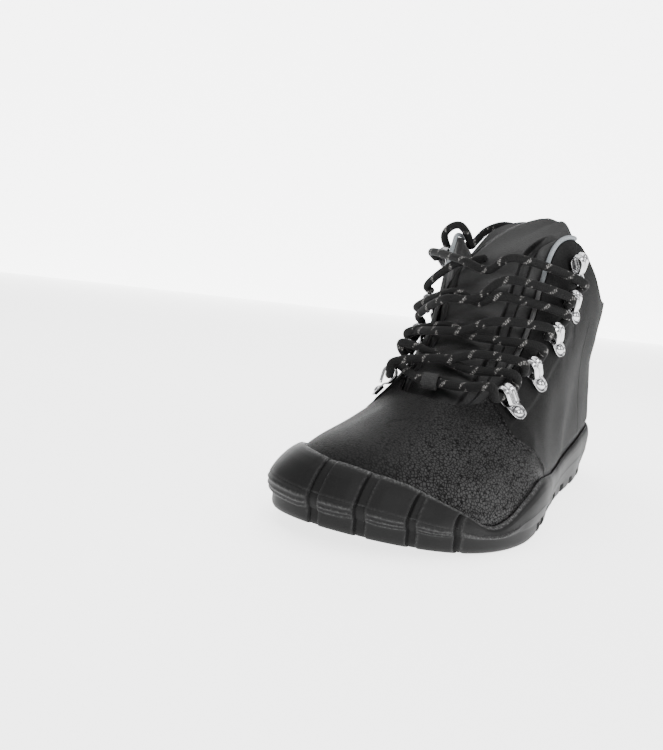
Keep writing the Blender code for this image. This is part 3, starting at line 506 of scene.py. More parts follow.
def hook_mouth(index, above):
    """Middle of the lace beside a hook's mouth, on its upper (1) or lower (-1) side."""
    spot, along, side, out = hook_frame(HOOKS[index])
    upper_side = side if side.z > 0 else -side
    mouth = spot + along * (HOOK_LENGTH / 2 - HOOK_ROLL) + out * (HOOK_PLATE / 2 + HOOK_ROLL)
    away = upper_side * above
    return mouth + away * (HOOK_WIDTH / 2 + LACE / 2 + 2 * GAP), along, away, out


def off_hook(index, above):
    start, along, away, out = hook_mouth(index, above)
    return [start, start + along * LACE * 1.2 + away * LACE * .25 + out * LACE * .6]


def strand(first, above_first, s_first, last, above_last, s_last, lift, edge_rise=EDGE_RISE):
    """Own points of one lace run between two hooks, over the tongue."""
    sag = LACE_SAG * ((s_first + s_last) / 2 - BASE_SECTION)
    inner = [over_tongue(s_first + (s_last - s_first) * t - sag * (1 - (2 * t - 1) ** 2), .12 + .76 * t,
                         lift + edge_rise * (2 * t - 1) ** 2) for t in (.28, .5, .72)]
    return off_hook(first, above_first) + inner + off_hook(last, above_last)[::-1]


def mesh_object(name, mesh, finish):
    ob = bpy.data.objects.new(name, mesh)
    bpy.context.scene.collection.objects.link(ob)
    if finish is not None:
        mesh.materials.append(finish.material)
    return ob


def skin(name, grid, finish, around=True, masks=None, capped=False):
    """A smooth mesh over rows and columns of points, its rows closed where it goes around."""
    rows, columns = grid.shape[:2]
    index = np.arange(rows * columns).reshape(rows, columns)
    near = index if around else index[:, :-1]
    beside = np.roll(index, -1, axis=1) if around else index[:, 1:]
    faces = np.stack((near[:-1], beside[:-1], beside[1:], near[1:]), -1).reshape(-1, 4).tolist()
    if capped:
        faces += [index[0][::-1].tolist(), index[-1].tolist()]
    mesh = bpy.data.meshes.new(name)
    mesh.from_pydata(grid.reshape(-1, 3), [], faces)
    for word, values in (masks or {}).items():
        layer = mesh.attributes.new(word, "FLOAT", "POINT")
        layer.data.foreach_set("value", np.ascontiguousarray(values, np.float32).ravel())
    mesh.shade_smooth()
    return mesh_object(name, mesh, finish)


def even_path(points, step):
    """The points again at even steps, with each one's distance from the first."""
    p = np.array([tuple(q) for q in points])
    distance = np.concatenate(((0,), np.cumsum(np.linalg.norm(np.diff(p, axis=0), axis=1))))
    count = max(2, int(round(distance[-1] / step)))
    places = np.linspace(0, distance[-1], count + 1)
    return np.stack([np.interp(places, distance, p[:, k]) for k in range(3)], 1), places


def frames_along(path):
    """Two side directions for each point of a path, turned as little as possible."""
    tangent = unit(np.gradient(path, axis=0))
    side = np.cross(tangent[0], (0, 0, 1.0))
    sides = []
    for t in tangent:
        side = side - t * (side @ t)
        side = side / np.linalg.norm(side)
        sides.append(side)
    sides = np.array(sides)
    return tangent, sides, np.cross(tangent, sides)


lace_finish = Finish("lace cord", Roughness=.85, Specular_IOR_Level=.15, Sheen_Weight=.04,
                     Sheen_Roughness=.5)
lace_finish.shader.inputs["Sheen Tint"].default_value = grey(.6)
yarn = lace_finish.mask("yarn")
fleck = lace_finish.mask("fleck")
fuzz = lace_finish.noise(.0004, 2.0)
# The braid's valleys are painted darker than the yarn tops, and the flecks fade in them: painted shade
# between the yarns.
yarn_with_valley_shade = lace_finish.mix(yarn, grey(.0015), grey(.010))
lace_finish.feed("Base Color", lace_finish.mix(fleck * (.35 + .55 * yarn), yarn_with_valley_shade, grey(.40, .03)))
lace_finish.feed("Normal", lace_finish.bump(fuzz, .00008))


def braid(name, points, start=0.0):
    """A braided cord along a route, its ends drawn in, with fleck pairs measured from start."""
    path, places = even_path(smooth_path(points, 16), LACE_STEP)
    tangent, side, other = frames_along(path)
    angle = np.linspace(0, 2 * math.pi, LACE_SIDES, endpoint=False)
    along = (places + start)[:, None]
    one_way = angle[None] * BRAID_YARNS + 2 * math.pi * BRAID_YARNS * along / BRAID_PITCH
    other_way = angle[None] * BRAID_YARNS - 2 * math.pi * BRAID_YARNS * along / BRAID_PITCH
    over = np.cos((one_way + other_way) / 2) * np.cos((one_way - other_way) / 2) > 0
    height = np.where(over, np.abs(np.cos(one_way / 2)), np.abs(np.cos(other_way / 2)))
    end = np.minimum(places, places[-1] - places)[:, None]
    radius = LACE / 2 - BRAID_RELIEF + BRAID_RELIEF * height
    radius = radius * np.sqrt(np.clip(end / (LACE * .3) + .12, 0, 1))
    grid = (path[:, None] + side[:, None] * (np.cos(angle)[None, :, None] * radius[..., None])
            + other[:, None] * (np.sin(angle)[None, :, None] * radius[..., None]))
    place_in_pair = (along / FLECK_PITCH) % 1 * FLECK_PITCH
    turn = (angle[None] + 2 * math.pi * along / BRAID_PITCH) % (2 * math.pi / 2)
    lit = np.zeros_like(turn)
    for offset in (.35, 1.05):
        lit = np.maximum(lit, 1 - ramp(np.abs(turn - offset), .10, .24))
    fleck = lit * (place_in_pair < FLECK_LENGTH) * np.where(over, 1, .15)
    masks = {"yarn": height, "fleck": fleck}
    return skin(name, grid, lace_finish, masks=masks, capped=True), path, places[-1]


def dress(ob, slot, *nodes):
    """Puts a piece made from the heel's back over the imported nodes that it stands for."""
    ob.data.transform(Matrix.Translation(-Vector(HEEL_SPOT)))
    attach(ob, "root")
    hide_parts(*nodes)


def finish_lace(name, points, nodes, start=0.0):
    ob, path, length = braid(name, points, start)
    dress(ob, "lace_cord", *nodes)
    return ob, path - HEEL_SPOT, length


arch_start, _, arch_away, _ = hook_mouth(9, 1)
arch_points = [arch_start - arch_away * CLOSER_START] + [Vector(p) for p in FREE_END]
tuck_points = off_hook(8, 1) + [over_tongue(*p) for p in TUCKED_END]
free_end, free_path, free_length = finish_lace("lace_free_end", arch_points, ["lace_end_arch"])
tucked_end, tucked_path, tucked_length = finish_lace("lace_tucked_end", tuck_points, ["lace_end_tuck"])

base_run = strand(0, -1, 1.65, 5, -1, 1.65, .0012)
top_run = strand(3, 1, 5.15, 9, -1, 5.55, .0062, TOP_EDGE_RISE)
rising = [strand(k, 1, 2.15 + k, 6 + k, -1, 2.85 + k, .0006 + .0010 * k,
                 TOP_EDGE_RISE if k == 2 else EDGE_RISE) for k in range(3)]
falling = [strand(k + 1, -1, 2.85 + k, 5 + k, 1, 2.15 + k, .0044 + .0010 * k,
                  TOP_EDGE_RISE if k == 2 else EDGE_RISE) for k in range(3)]
one_side = top_run[::-1] + falling[2] + rising[1][::-1] + falling[0]
other_side = base_run[::-1] + rising[0] + falling[1][::-1] + rising[2]
finish_lace(
    "lace_through_hooks", one_side + other_side,
    ["lace_bar_base", "lace_cross_1", "lace_cross_2", "lace_cross_3", "lace_bar_top"], .004)

# Hooks: chromed steel strips folded over the lace, each on a domed rivet in a pressed cup.
# Two ridges run along the strip, and its lower end is pointed and rounded.
HOOK_STEPS, HOOK_SIDES = 98, 44
RIVET_FROM_MIDDLE = -HOOK_LENGTH * .27
RIVET_RADIUS, RIVET_HEIGHT = 0.0033, 0.0029
CUP_RISE, RIDGE_RISE = 0.0013, 0.0008
ROLL_TURN = math.radians(210)    # the fold; the strip then runs straight back toward the cup
FOLD_BACK = 0.0066

chrome_finish = Finish("chrome", Metallic=1.0, IOR=2.2)
# Patches of lighter and darker base colour stand for the studio and the dark boot mirrored in the chrome:
# painted reflection. The same noise varies the roughness.
painted_reflection_noise = chrome_finish.noise(.0045, 2.0, .5)
chrome_tone = chrome_finish.mix(painted_reflection_noise.over(.35, .65), (.55, .55, .56, 1), (.30, .30, .305, 1))
chrome_finish.feed("Base Color", chrome_tone)
chrome_finish.feed("Roughness", painted_reflection_noise * .14 + .10)


def hook_half_width(s, total):
    """Half width of the strip so far from its lower tip."""
    tip = HOOK_WIDTH / 2 * np.sqrt(np.clip(1 - (1 - np.clip(s / .0040, 0, 1)) ** 2.2, 0, 1))
    neck = 1 - .10 * ramp(s, .0070, .0105)
    end = np.sqrt(np.clip((total - s) / .0012 + .10, 0, 1))
    return tip * neck * end


def hook_mesh():
    straight = HOOK_LENGTH - HOOK_ROLL
    fold_end = straight + HOOK_ROLL * ROLL_TURN
    total = fold_end + FOLD_BACK
    s = np.concatenate((np.linspace(0, .004, 18), np.linspace(.0042, total, HOOK_STEPS - 18)))
    turned = np.clip((s - straight) / HOOK_ROLL, 0, ROLL_TURN)
    past = np.clip(s - fold_end, 0, None)
    x = np.where(s < straight, s - HOOK_LENGTH / 2, HOOK_LENGTH / 2 - HOOK_ROLL + HOOK_ROLL * np.sin(turned))
    x = x + past * math.cos(ROLL_TURN)
    z = HOOK_PLATE / 2 + np.where(s < straight, 0, HOOK_ROLL * (1 - np.cos(turned)))
    z = z + past * math.sin(ROLL_TURN)
    middle = np.stack((x, np.zeros_like(x), z), 1)
    normal = np.stack((-np.sin(turned), np.zeros_like(x), np.cos(turned)), 1)
    angle = np.linspace(0, 2 * math.pi, HOOK_SIDES, endpoint=False)
    across = np.cos(angle)
    thick = np.sign(np.sin(angle)) * np.clip(np.abs(np.sin(angle)) * 2.4, 0, 1) ** .7
    half = hook_half_width(s, total)[:, None]
    y = half * across[None]
    rivet_s = RIVET_FROM_MIDDLE + HOOK_LENGTH / 2
    reach = np.hypot(y, s[:, None] - rivet_s)
    band = ramp(s, .0085, .0115)[:, None]
    cup = CUP_RISE * ramp(reach, .0028, .0040) * (1 - band)
    ridges = RIDGE_RISE * np.sin(math.pi * np.abs(across))[None] ** 2 * band
    lift = cup - ridges
    depth = HOOK_PLATE / 2 * thick[None] + lift
    grid = middle[:, None] + normal[:, None] * depth[..., None] + np.array((0, 1, 0)) * y[..., None]
    strip = skin("hook_strip", grid, None, capped=True)
    dome_rings = []
    for k in range(1, 15):
        a = math.pi / 2 * k / 14
        reach = RIVET_RADIUS * math.sin(a)
        height = HOOK_PLATE * .8 + RIVET_HEIGHT * math.cos(a)
        ring = [(RIVET_FROM_MIDDLE + reach * math.cos(b), reach * math.sin(b), height)
                for b in np.linspace(0, 2 * math.pi, 32, endpoint=False)]
        dome_rings.append(ring)
    dome_rings.append([(p[0], p[1], 0) for p in dome_rings[-1]])
    dome = skin("hook_rivet", np.array(dome_rings), None, capped=True)
    with bpy.context.temp_override(active_object=strip, selected_editable_objects=[strip, dome]):
        bpy.ops.object.join()
    mesh = strip.data
    bpy.data.objects.remove(strip)
    mesh.materials.append(chrome_finish.material)
    return mesh


shared_hook = hook_mesh()
for row in HOOKS:
    hook = bpy.data.objects.new(row[0] + "_chrome", shared_hook)
    bpy.context.scene.collection.objects.link(hook)
    spot, along, side, out = hook_frame(row)
    turn = Matrix((along, side, out)).transposed().to_4x4()
    hook.matrix_world = Matrix.Translation(spot - Vector(HEEL_SPOT)) @ turn
    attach(hook, "root")
    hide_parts(row[0])

# Upper: black leather, pebbled over the vamp and smoother on the quarters. The quarters are sewn over
# the vamp, the cuff round the heel is padded, and the wall is lined with black knit.
LEATHER_WALL = 0.0015           # the leather itself; the lining takes the rest of the wall
SEAM_DEPTH, SEAM_WIDTH = 0.00045, 0.0009
CREASE_PATH = ((14.6, .80), (13.75, .85), (12.7, .85), (11.75, .83), (11.2, .78), (10.95, .73), (10.6, .60))
CREASE_DEPTH, CREASE_WIDTH = 0.00016, 0.020
FOLDS = (
    # soft troughs pressed in: ring position and height of both ends, half width, depth
    ((9.9, .93), (9.2, .55), .050, .0008),
    ((3.6, .32), (2.4, .60), .110, .0008),
    ((6.9, .34), (5.8, .50), .120, .0004),
    ((4.9, .70), (3.6, .78), .060, .0006),
    ((20.9, .34), (22.4, .48), .100, .0007),
    ((23.2, .70), (24.4, .80), .060, .0006),
    ((26.4, .45), (27.6, .42), .050, .0010),
    ((11.4, .55), (13.4, .60), .070, .0006),
)


def spaced(parts):
    """Rising values with their own spacing in each stretch: (end, count) after a first start."""
    start, values = parts[0], []
    for end, count in parts[1:]:
        values.append(np.linspace(start, end, count, endpoint=False))
        start = end
    return np.concatenate(values + [(start,)])


# Column positions are denser at the seams, and slide with them up the wall.
upper_u = spaced([0.0, (1.9, 36), (2.9, 34), (3.6, 16), (4.2, 20), (7.2, 66), (8.0, 22), (8.5, 44),
                  (11.0, 66), (18.5, 150), (19.5, 24), (20.4, 52), (22.9, 52), (23.3, 16), (24.2, 18),
                  (25.1, 34), (27.0, 36)])[:-1]
REAR_SEAM_LATERAL, REAR_SEAM_MEDIAL = 2.42, 24.58


def rear_shift(v):
    return .42 * ramp(v, .30, .82)


def slid(c, v):
    """Ring position of a column at a height: columns keep along the seams."""
    near_lateral = ramp(c, 5.0, 7.6) * (1 - ramp(c, 8.6, 11.2))
    near_medial = ramp(c, 16.6, 19.4) * (1 - ramp(c, 20.5, 22.6))
    near_rear_lateral = ramp(c, .5, 2.2) * (1 - ramp(c, 2.7, 3.9))
    near_rear_medial = ramp(c, 23.1, 24.3) * (1 - ramp(c, 24.8, 26.5))
    return (c + (seam_lateral(v) - 8.05) * near_lateral + (seam_medial(v) - 20.05) * near_medial
            + rear_shift(v) * near_rear_lateral - rear_shift(v) * near_rear_medial)


def seam_line(distance, width=SEAM_WIDTH):
    return np.exp(-(distance / (width * .5)) ** 2)


def metres_between(u, other, v):
    """Signed distance along the wall between two ring positions at one height."""
    step = .02
    speed = np.linalg.norm(surface(u + step, v) - surface(u - step, v), axis=-1) / (2 * step)
    return (u - other) * speed


RING_SCALE = 6.0     # stations that measure as much as the wall's height


def off_path(u, v, path):
    """Distance from a path over the wall, in shares of the wall's height."""
    p = np.stack((u / RING_SCALE, v), -1)
    nearest = np.full(u.shape, 9.0)
    for start, end in zip(path, path[1:]):
        a = np.array((start[0] / RING_SCALE, start[1]))
        b = np.array((end[0] / RING_SCALE, end[1]))
        t = np.clip(((p - a) @ (b - a)) / ((b - a) @ (b - a)), 0, 1)
        nearest = np.minimum(nearest, np.linalg.norm(p - a - t[..., None] * (b - a), axis=-1))
    return nearest


def leather_form(u, v):
    """Height of the leather's face over the last, and a mask of the painted shade in its seams and crease."""
    rubber = round_the_foot(u, RIM_SHARES)
    face = relief(u, v)
    lateral = metres_between(u, seam_lateral(v), v)
    medial = metres_between(u, seam_medial(v), v)
    rear_lateral = metres_between(u, REAR_SEAM_LATERAL + rear_shift(v), v)
    rear_medial = metres_between(u, REAR_SEAM_MEDIAL - rear_shift(v), v)
    low, high = ramp(v, rubber, rubber + .03), 1 - ramp(v, .97, 1.0)
    seam = seam_line(lateral - .0006) + seam_line(medial + .0006)
    seam += (seam_line(rear_lateral) + seam_line(rear_medial)) * (1 - ramp(v, .78, .82))
    seam *= low * high
    welt = (seam_line(lateral + .0012, .0022) + seam_line(medial - .0012, .0022)) * low * high
    line = np.exp(-(off_path(u, v, CREASE_PATH) / (CREASE_WIDTH * .5)) ** 2)
    face = face - SEAM_DEPTH * seam + .00018 * welt - CREASE_DEPTH * line
    for start, end, width, depth in FOLDS:
        gap = off_path(u, v, (start, end)) / width
        face = face + low * high * depth * (.3 * np.exp(-((gap - 1.8) / 1.0) ** 2) - np.exp(-gap ** 2))
    return face, np.clip(seam + line * .25, 0, 1)


leather_finish = Finish("black leather", Specular_IOR_Level=.05, Coat_Roughness=.36, Coat_IOR=1.4)
grain = leather_finish.mask("grain")
seam_and_crease_shade = leather_finish.mask("seam")
warped = leather_finish.node("ShaderNodeVectorMath", {"operation": "ADD"},
                             [leather_finish.spot(),
                              leather_finish.node("ShaderNodeVectorMath", {"operation": "SCALE"},
                                                  {0: leather_finish.node("ShaderNodeTexNoise", {},
                                                                          {"Vector": leather_finish.spot(),
                                                                           "Scale": 150.0}, "Color"),
                                                   "Scale": .0005})])
pebbles = leather_finish.cells(.00150, "DISTANCE_TO_EDGE", where=warped)
fine = leather_finish.cells(.00055, "DISTANCE_TO_EDGE")
pebble_height = pebbles.over(0, .16)
fine_height = fine.over(0, .20)
cloud = leather_finish.noise(.022, 4.0, .6)
tone = leather_finish.mix(cloud, grey(.0085), grey(.0125))
# Pebble tops are painted lighter, a painted highlight, and the valleys between them darker, a painted shade;
# both follow the grain mask.
tone = leather_finish.mix(grain * pebble_height * .8, tone, grey(.034))
tone = leather_finish.mix((1 - pebble_height) * grain, tone, grey(.002))
# Seams and the crease are painted darker: painted shade in their grooves.
tone = leather_finish.mix(seam_and_crease_shade * .7, tone, grey(.0015))
leather_finish.feed("Base Color", tone)
leather_finish.feed("Roughness", .60 - .16 * grain + .10 * (1 - pebble_height) * grain + .08 * cloud)
leather_finish.feed("Coat Weight", .01 + .45 * grain * grain * pebble_height)
coarse_bump = leather_finish.bump(pebble_height * (.05 + .95 * grain), .00055)
leather_finish.feed("Normal", leather_finish.bump(fine_height, .00003, coarse_bump))

visible = spaced([0.0, (.03, 4), (.66, 62), (.80, 22), (.95, 20), (1.0, 14)])
top_share = rim_height_share(slid(upper_u, np.full_like(upper_u, .3)))
rows = [top_share * k / 5 for k in range(5)]
rows += [top_share + (1 - top_share) * w for w in visible]
v_grid = np.array(rows)
u_grid = slid(upper_u[None], v_grid)
face, seam = leather_form(u_grid, v_grid)
normal = outward(u_grid, v_grid)
outer = surface(u_grid, v_grid) + normal * face[..., None]
EDGE_ROUND = 7
edge_u, edge_v = u_grid[-1], v_grid[-1]
edge_normal = normal[-1]
round_dir = surface(edge_u + .02, edge_v) - surface(edge_u - .02, edge_v)
off_edge = unit(np.cross(edge_normal, round_dir))
up_edge = surface(edge_u, edge_v) - surface(edge_u, edge_v - .03)
off_edge *= np.sign(np.sum(off_edge * up_edge, -1))[:, None]
rolled = []
for k in range(1, EDGE_ROUND):
    a = math.pi * k / EDGE_ROUND
    rolled.append(outer[-1] - edge_normal * LEATHER_WALL / 2 * (1 - math.cos(a))
                  + off_edge * LEATHER_WALL / 2 * math.sin(a) * .6)
inner_rows = np.array([np.full_like(upper_u, 1.0), np.full_like(upper_u, .97), np.full_like(upper_u, .9),
                       np.full_like(upper_u, .78), top_share + (.78 - top_share) * .5, top_share * 1.0,
                       top_share * .5, top_share * 0])
inner_u = slid(upper_u[None], inner_rows)
inner = surface(inner_u, inner_rows) + outward(inner_u, inner_rows) * (
    leather_form(inner_u, inner_rows)[0] - LEATHER_WALL)[..., None]
leather_grid = np.concatenate((outer, np.array(rolled), inner, outer[:1]))
vamp = station_range(u_grid, seam_lateral(v_grid), seam_medial(v_grid), .05)
# The grain mask sets the pebble bump and also how strong the painted pebble highlight and shade are; it is
# strongest at the front of the little-toe side.
coarse = (1 - ramp(np.abs(u_grid - 10.9), 1.0, 3.6)) * (1 - .6 * ramp(v_grid, .62, .95))
front_grain = vamp * (.25 + .75 * coarse)
unseen = np.ones((len(rolled) + len(inner) + 1, len(upper_u)))
grain_values = np.concatenate((np.maximum(front_grain, .12), unseen * .2))
seam_shade_values = np.concatenate((seam, unseen * 0))
dress(skin("upper_leather", leather_grid, leather_finish,
           masks={"grain": grain_values, "seam": seam_shade_values}), "leather", "upper")

# Lining: black knit glued to the inside of the leather, turned in under the collar's edge.
LINING_WALL = 0.0005
lining_finish = Finish("black knit lining", Roughness=.9, Sheen_Weight=.3)
knit = lining_finish.cells(.0011, "F1", .35)
lining_finish.feed("Base Color", lining_finish.mix(knit.over(.1, .7), grey(.016), grey(.006)))
lining_finish.feed("Normal", lining_finish.bump(knit, .0002))
lining_u = spaced([0.0, (27.0, 270)])[:-1]
lining_v = spaced([0.02, (.70, 20), (1.0, 22)])
lining_grid_v, lining_grid_u = np.meshgrid(lining_v, lining_u, indexing="ij")
lining_face = relief(lining_grid_u, lining_grid_v) - LEATHER_WALL - .0001
lining_normal = outward(lining_grid_u, lining_grid_v)
lining_outer = surface(lining_grid_u, lining_grid_v) + lining_normal * lining_face[..., None]
lining_inner = lining_outer - lining_normal * LINING_WALL
lining_grid = np.concatenate((lining_outer, lining_inner[::-1], lining_outer[:1]))
dress(skin("upper_lining", lining_grid, lining_finish), "leather", "upper")

# Sole: a moulded black rubber cup. Its toe wall is parted into toes by upright grooves, each with a
# deep cut along it. A low ledge runs round at half its height, over three thin ribs at the toes.
RIM_WALL, SIDE_WALL, LEDGE = 0.0022, 0.0036, 0.0007
GROOVE_DEPTH, LUG_DEPTH = 0.0013, 0.0028
TOE_GROOVES = ((-.080, .0050), (.100, .0046), (.268, .0032), (.396, .0018))
TOE_GROOVE_START = .715
GROOVE_EDGE = 0.00045
CUT_WIDTH, CUT_DEPTH, CHANNEL_DEPTH = 0.0011, 0.0017, 0.00075
PAD_SWELL = 0.0006
RIB_HEIGHT, RIB_WIDTH = 0.00050, 0.0008
RIBS = (.25, .33, .41)
CHANNEL_WIDTH, DIAGONAL_WIDTH, DIAGONAL_PITCH = 0.0036, 0.0034, 0.0132
NOTCH_HEIGHT = 0.0062


def level_normal(u):
    return unit(outward(u, np.full_like(u, .06)) * (1, 1, 0))


def gap_to_line(x, y, a, b):
    """Distance of plan points from a straight line between two points."""
    d = np.array(b) - np.array(a)
    t = np.clip(((x - a[0]) * d[0] + (y - a[1]) * d[1]) / (d @ d), 0, 1)
    return np.hypot(x - a[0] - t * d[0], y - a[1] - t * d[1])


ring_u = np.arange(COUNT * 3) / 3
ring_feet = surface(ring_u, np.zeros_like(ring_u)) + level_normal(ring_u) * SIDE_WALL
lateral_line = sorted((p[0], p[1]) for p in ring_feet[:45])
medial_line = sorted((p[0], p[1]) for p in ring_feet[45:])


def plan_point(x, share):
    """A point at x, at a share from the middle (0) to the edges (-1 medial, 1 lateral)."""
    lateral = float(np.interp(x, *zip(*lateral_line)))
    medial = float(np.interp(x, *zip(*medial_line)))
    return x, (lateral + medial) / 2 + share * (lateral - medial) / 2


def in_arch_panel(x, y):
    along = (x / LENGTH - ARCH_PANEL[0]) / ARCH_PANEL[2]
    across = (y / BALL_WIDTH - ARCH_PANEL[1]) / ARCH_PANEL[3]
    return along ** 2 + across ** 2 < 1


def tread_lines():
    """Middle lines of the tread's channels and diagonals: (start, end, width)."""
    lines = []
    start = TOE_GROOVE_START * LENGTH
    border = [plan_point(start - .010 * (share + 1), share) for share in (-1.1, -.5, 0, .5, 1.1)]
    lines += [(a, b, CHANNEL_WIDTH * 1.3) for a, b in zip(border, border[1:])]
    rows = (-1.12, -.5, 0, .5, 1.12)
    front, back = start - .004, .055 * LENGTH
    steps = int((front - back) / .016)
    for share in rows[1:-1]:
        line = [plan_point(front - (front - back) * k / steps, share) for k in range(steps + 1)]
        lines += [(a, b, CHANNEL_WIDTH) for a, b in zip(line, line[1:])
                  if not (in_arch_panel(*a) or in_arch_panel(*b))]
    for j, (a, b) in enumerate(zip(rows, rows[1:])):
        x = front - .004 * j
        k = 0
        while x - DIAGONAL_PITCH > back:
            ends = (a, b) if (k + j) % 2 else (b, a)
            p, q = plan_point(x, ends[0]), plan_point(x - DIAGONAL_PITCH, ends[1])
            if not in_arch_panel((p[0] + q[0]) / 2, (p[1] + q[1]) / 2):
                lines.append((p, q, DIAGONAL_WIDTH))
            x -= DIAGONAL_PITCH
            k += 1
    return lines


TREAD_LINES = tread_lines()


def lug_channels(x, y):
    """1 in the channels and diagonals of the tread, 0 on the lugs."""
    depth = np.zeros_like(x)
    for a, b, width in TREAD_LINES:
        near = (np.abs(x - (a[0] + b[0]) / 2) < .02) | (np.abs(b[0] - a[0]) > .03)
        gap = gap_to_line(x[near], y[near], a, b)
        depth[near] = np.maximum(depth[near], 1 - ramp(gap, width / 2 - .0003, width / 2 + .0004))
    return depth


def toe_channels(x, y):
    """Masks of the upright toe grooves and of the deep cut along each one's inner edge, and the
    distance to the nearest groove."""
    mask, cut = np.zeros_like(x), np.zeros_like(x)
    gap = np.full_like(x, .02)
    for share, width in TOE_GROOVES:
        off = np.abs(y - share * BALL_WIDTH) - width / 2
        mask = np.maximum(mask, 1 - ramp(off, -GROOVE_EDGE / 2, GROOVE_EDGE / 2))
        off_cut = y - share * BALL_WIDTH + width / 2 - CUT_WIDTH * .5
        cut = np.maximum(cut, np.exp(-(off_cut / (CUT_WIDTH * .55)) ** 2))
        gap = np.minimum(gap, np.maximum(off, 0))
    at_toe = ramp(x, TOE_GROOVE_START * LENGTH - .001, TOE_GROOVE_START * LENGTH + .001)
    return mask * at_toe, cut * at_toe, gap


rubber_finish = Finish("black rubber", Specular_IOR_Level=.09)
hollow = rubber_finish.mask("hollow")
edge_wear_and_highlight = rubber_finish.mask("wear_and_highlight")
speck = rubber_finish.noise(.0011, 3.0, .7)
patch = rubber_finish.noise(.017, 4.0, .6)
# The wear mask lightens the toe rim, groove edges, ribs and parting line: partly real scuffing, partly
# painted highlight.
worn_and_lit = edge_wear_and_highlight * (.25 + .75 * speck.over(.42, .66))
rubber_tone = rubber_finish.mix(patch, grey(.0080), grey(.0120))
# Hollows are painted darker: painted shade in the toe grooves, cuts and tread channels and on the cup's
# hidden inside face.
rubber_tone = rubber_finish.mix(hollow * .7, rubber_tone, grey(.003))
rubber_finish.feed("Base Color", rubber_finish.mix(worn_and_lit * .9, rubber_tone, grey(.105)))
rubber_finish.feed("Roughness", .46 + .12 * patch + .12 * hollow)
moulded = rubber_finish.cells(.0012, "F1")
skin_grain = rubber_finish.noise(.0005, 3.0)
rubber_finish.feed("Normal", rubber_finish.bump(skin_grain * .35 + moulded * hollow, .00010))

wall_u = spaced([0.0, (9.5, 150), (10.5, 40), (17.6, 410), (19.0, 40), (27.0, 130)])[:-1]
wall_top = rim_height_share(wall_u)
wall_level = level_normal(wall_u)
wall_foot = surface(wall_u, np.zeros_like(wall_u))
wall_tread = ground(wall_foot[:, 0], wall_foot[:, 1])
WALL_STEPS = 98


def wall_thickness(f):
    low, top = SIDE_WALL + LEDGE, RIM_WALL
    return np.interp(f, (0, .2, .48, .49, .50, .56, .80, .90, .96, 1),
                     (low, low, low - LEDGE * .20, low - LEDGE * .55, low - LEDGE * .45, low - LEDGE * .75,
                      SIDE_WALL * .90, SIDE_WALL * .76, top, top * .72))


wall_rows, hollow_rows, wear_and_highlight_rows = [], [], []


def add_wall_row(points, out, f):
    """One row of the cup's outside, with the toe grooves sunk and the ribs raised."""
    x, y, z = points[:, 0], points[:, 1], points[:, 2]
    toe, cut, gap = toe_channels(x, y)
    low = 1 - ramp(z - wall_tread, NOTCH_HEIGHT - .0006, NOTCH_HEIGHT + .0006)
    notch = lug_channels(x, y) * low * (1 - toe)
    pad = PAD_SWELL * ramp(gap, 0, .0050) * ramp(x, .74 * LENGTH, .80 * LENGTH) * ramp(f, -.1, .1)
    at_toe = ramp(x, .73 * LENGTH, .76 * LENGTH) * (1 - toe)
    ribs = sum(seam_line((f - r) * wall_height, RIB_WIDTH) for r in RIBS) * at_toe * ramp(gap, .0004, .0012)
    step_down = CHANNEL_DEPTH * .5 * (1 - ramp(f, .50, .52))
    sunk = np.maximum((CHANNEL_DEPTH + step_down) * toe, np.maximum(CUT_DEPTH * cut, GROOVE_DEPTH * notch))
    wall_rows.append(points + out * (pad + RIB_HEIGHT * ribs - sunk)[:, None])
    # The toe grooves, cuts and notches are painted darker, most below the ledge: painted shade.
    hollow_rows.append(np.clip(np.maximum(cut, notch) + toe * (.15 + .35 * (1 - ramp(f, .50, .52))), 0, 1))
    # Lightened marks: groove edges, ribs, parting line and toe rim, partly real wear and partly painted
    # highlight.
    edge = np.exp(-(gap / .0006) ** 2) * (1 - toe) * (1 - cut) * ramp(x, .72 * LENGTH, .74 * LENGTH)
    parting = seam_line((f - .50) * wall_height, .0008) * ramp(x, .72 * LENGTH, .74 * LENGTH)
    rim_wear_and_highlight = ramp(f, .93, 1.0) * station_range(wall_u, 9.2, 15.5, .6)
    wear_and_highlight_rows.append(np.clip(edge * .35 + ribs * .5 + parting * .15 + rim_wear_and_highlight, 0, 1))


wall_height = np.linalg.norm(surface(wall_u, wall_top) - wall_foot, axis=1)
for h in (0, .03, .09, .17, .27, .36, .45, .55, .65, .75, .85, .95):
    offset = SIDE_WALL * .55 + (SIDE_WALL * .45 + LEDGE) * math.sqrt(1 - (1 - min(1, h / .45)) ** 2)
    points = wall_foot * (1, 1, 0) + wall_level * offset
    points[:, 2] = wall_tread + h * SOLE_THICKNESS
    add_wall_row(points, wall_level, -1 + h)
for f in np.linspace(0.03, 1, WALL_STEPS):
    out = unit(wall_level * (1 - ramp(f, 0, .2)) + outward(wall_u, wall_top * f) * ramp(f, 0, .2))
    add_wall_row(surface(wall_u, wall_top * f) + out * wall_thickness(f), out, f)
rim_out = outward(wall_u, wall_top)
rim_hollow = np.maximum(*toe_channels(wall_rows[-1][:, 0], wall_rows[-1][:, 1])[:2])
for k in range(1, 6):
    a = math.pi * k / 5
    lift = unit(surface(wall_u, wall_top + .02) - surface(wall_u, wall_top))
    half = (RIM_WALL * .72 - GAP) / 2
    groove = CHANNEL_DEPTH * rim_hollow[:, None] * (1 + math.cos(a)) / 2
    outer_part = rim_out * (GAP + half + half * math.cos(a) - groove * (k < 5))
    wall_rows.append(surface(wall_u, wall_top) + outer_part + lift * half * .7 * math.sin(a))
    hollow_rows.append(hollow_rows[-1] * .5)
    # The rim's roll is lightened at the toe: real wear with painted highlight.
    wear_and_highlight_rows.append(.1 + .9 * station_range(wall_u, 9.2, 14.5, .6))
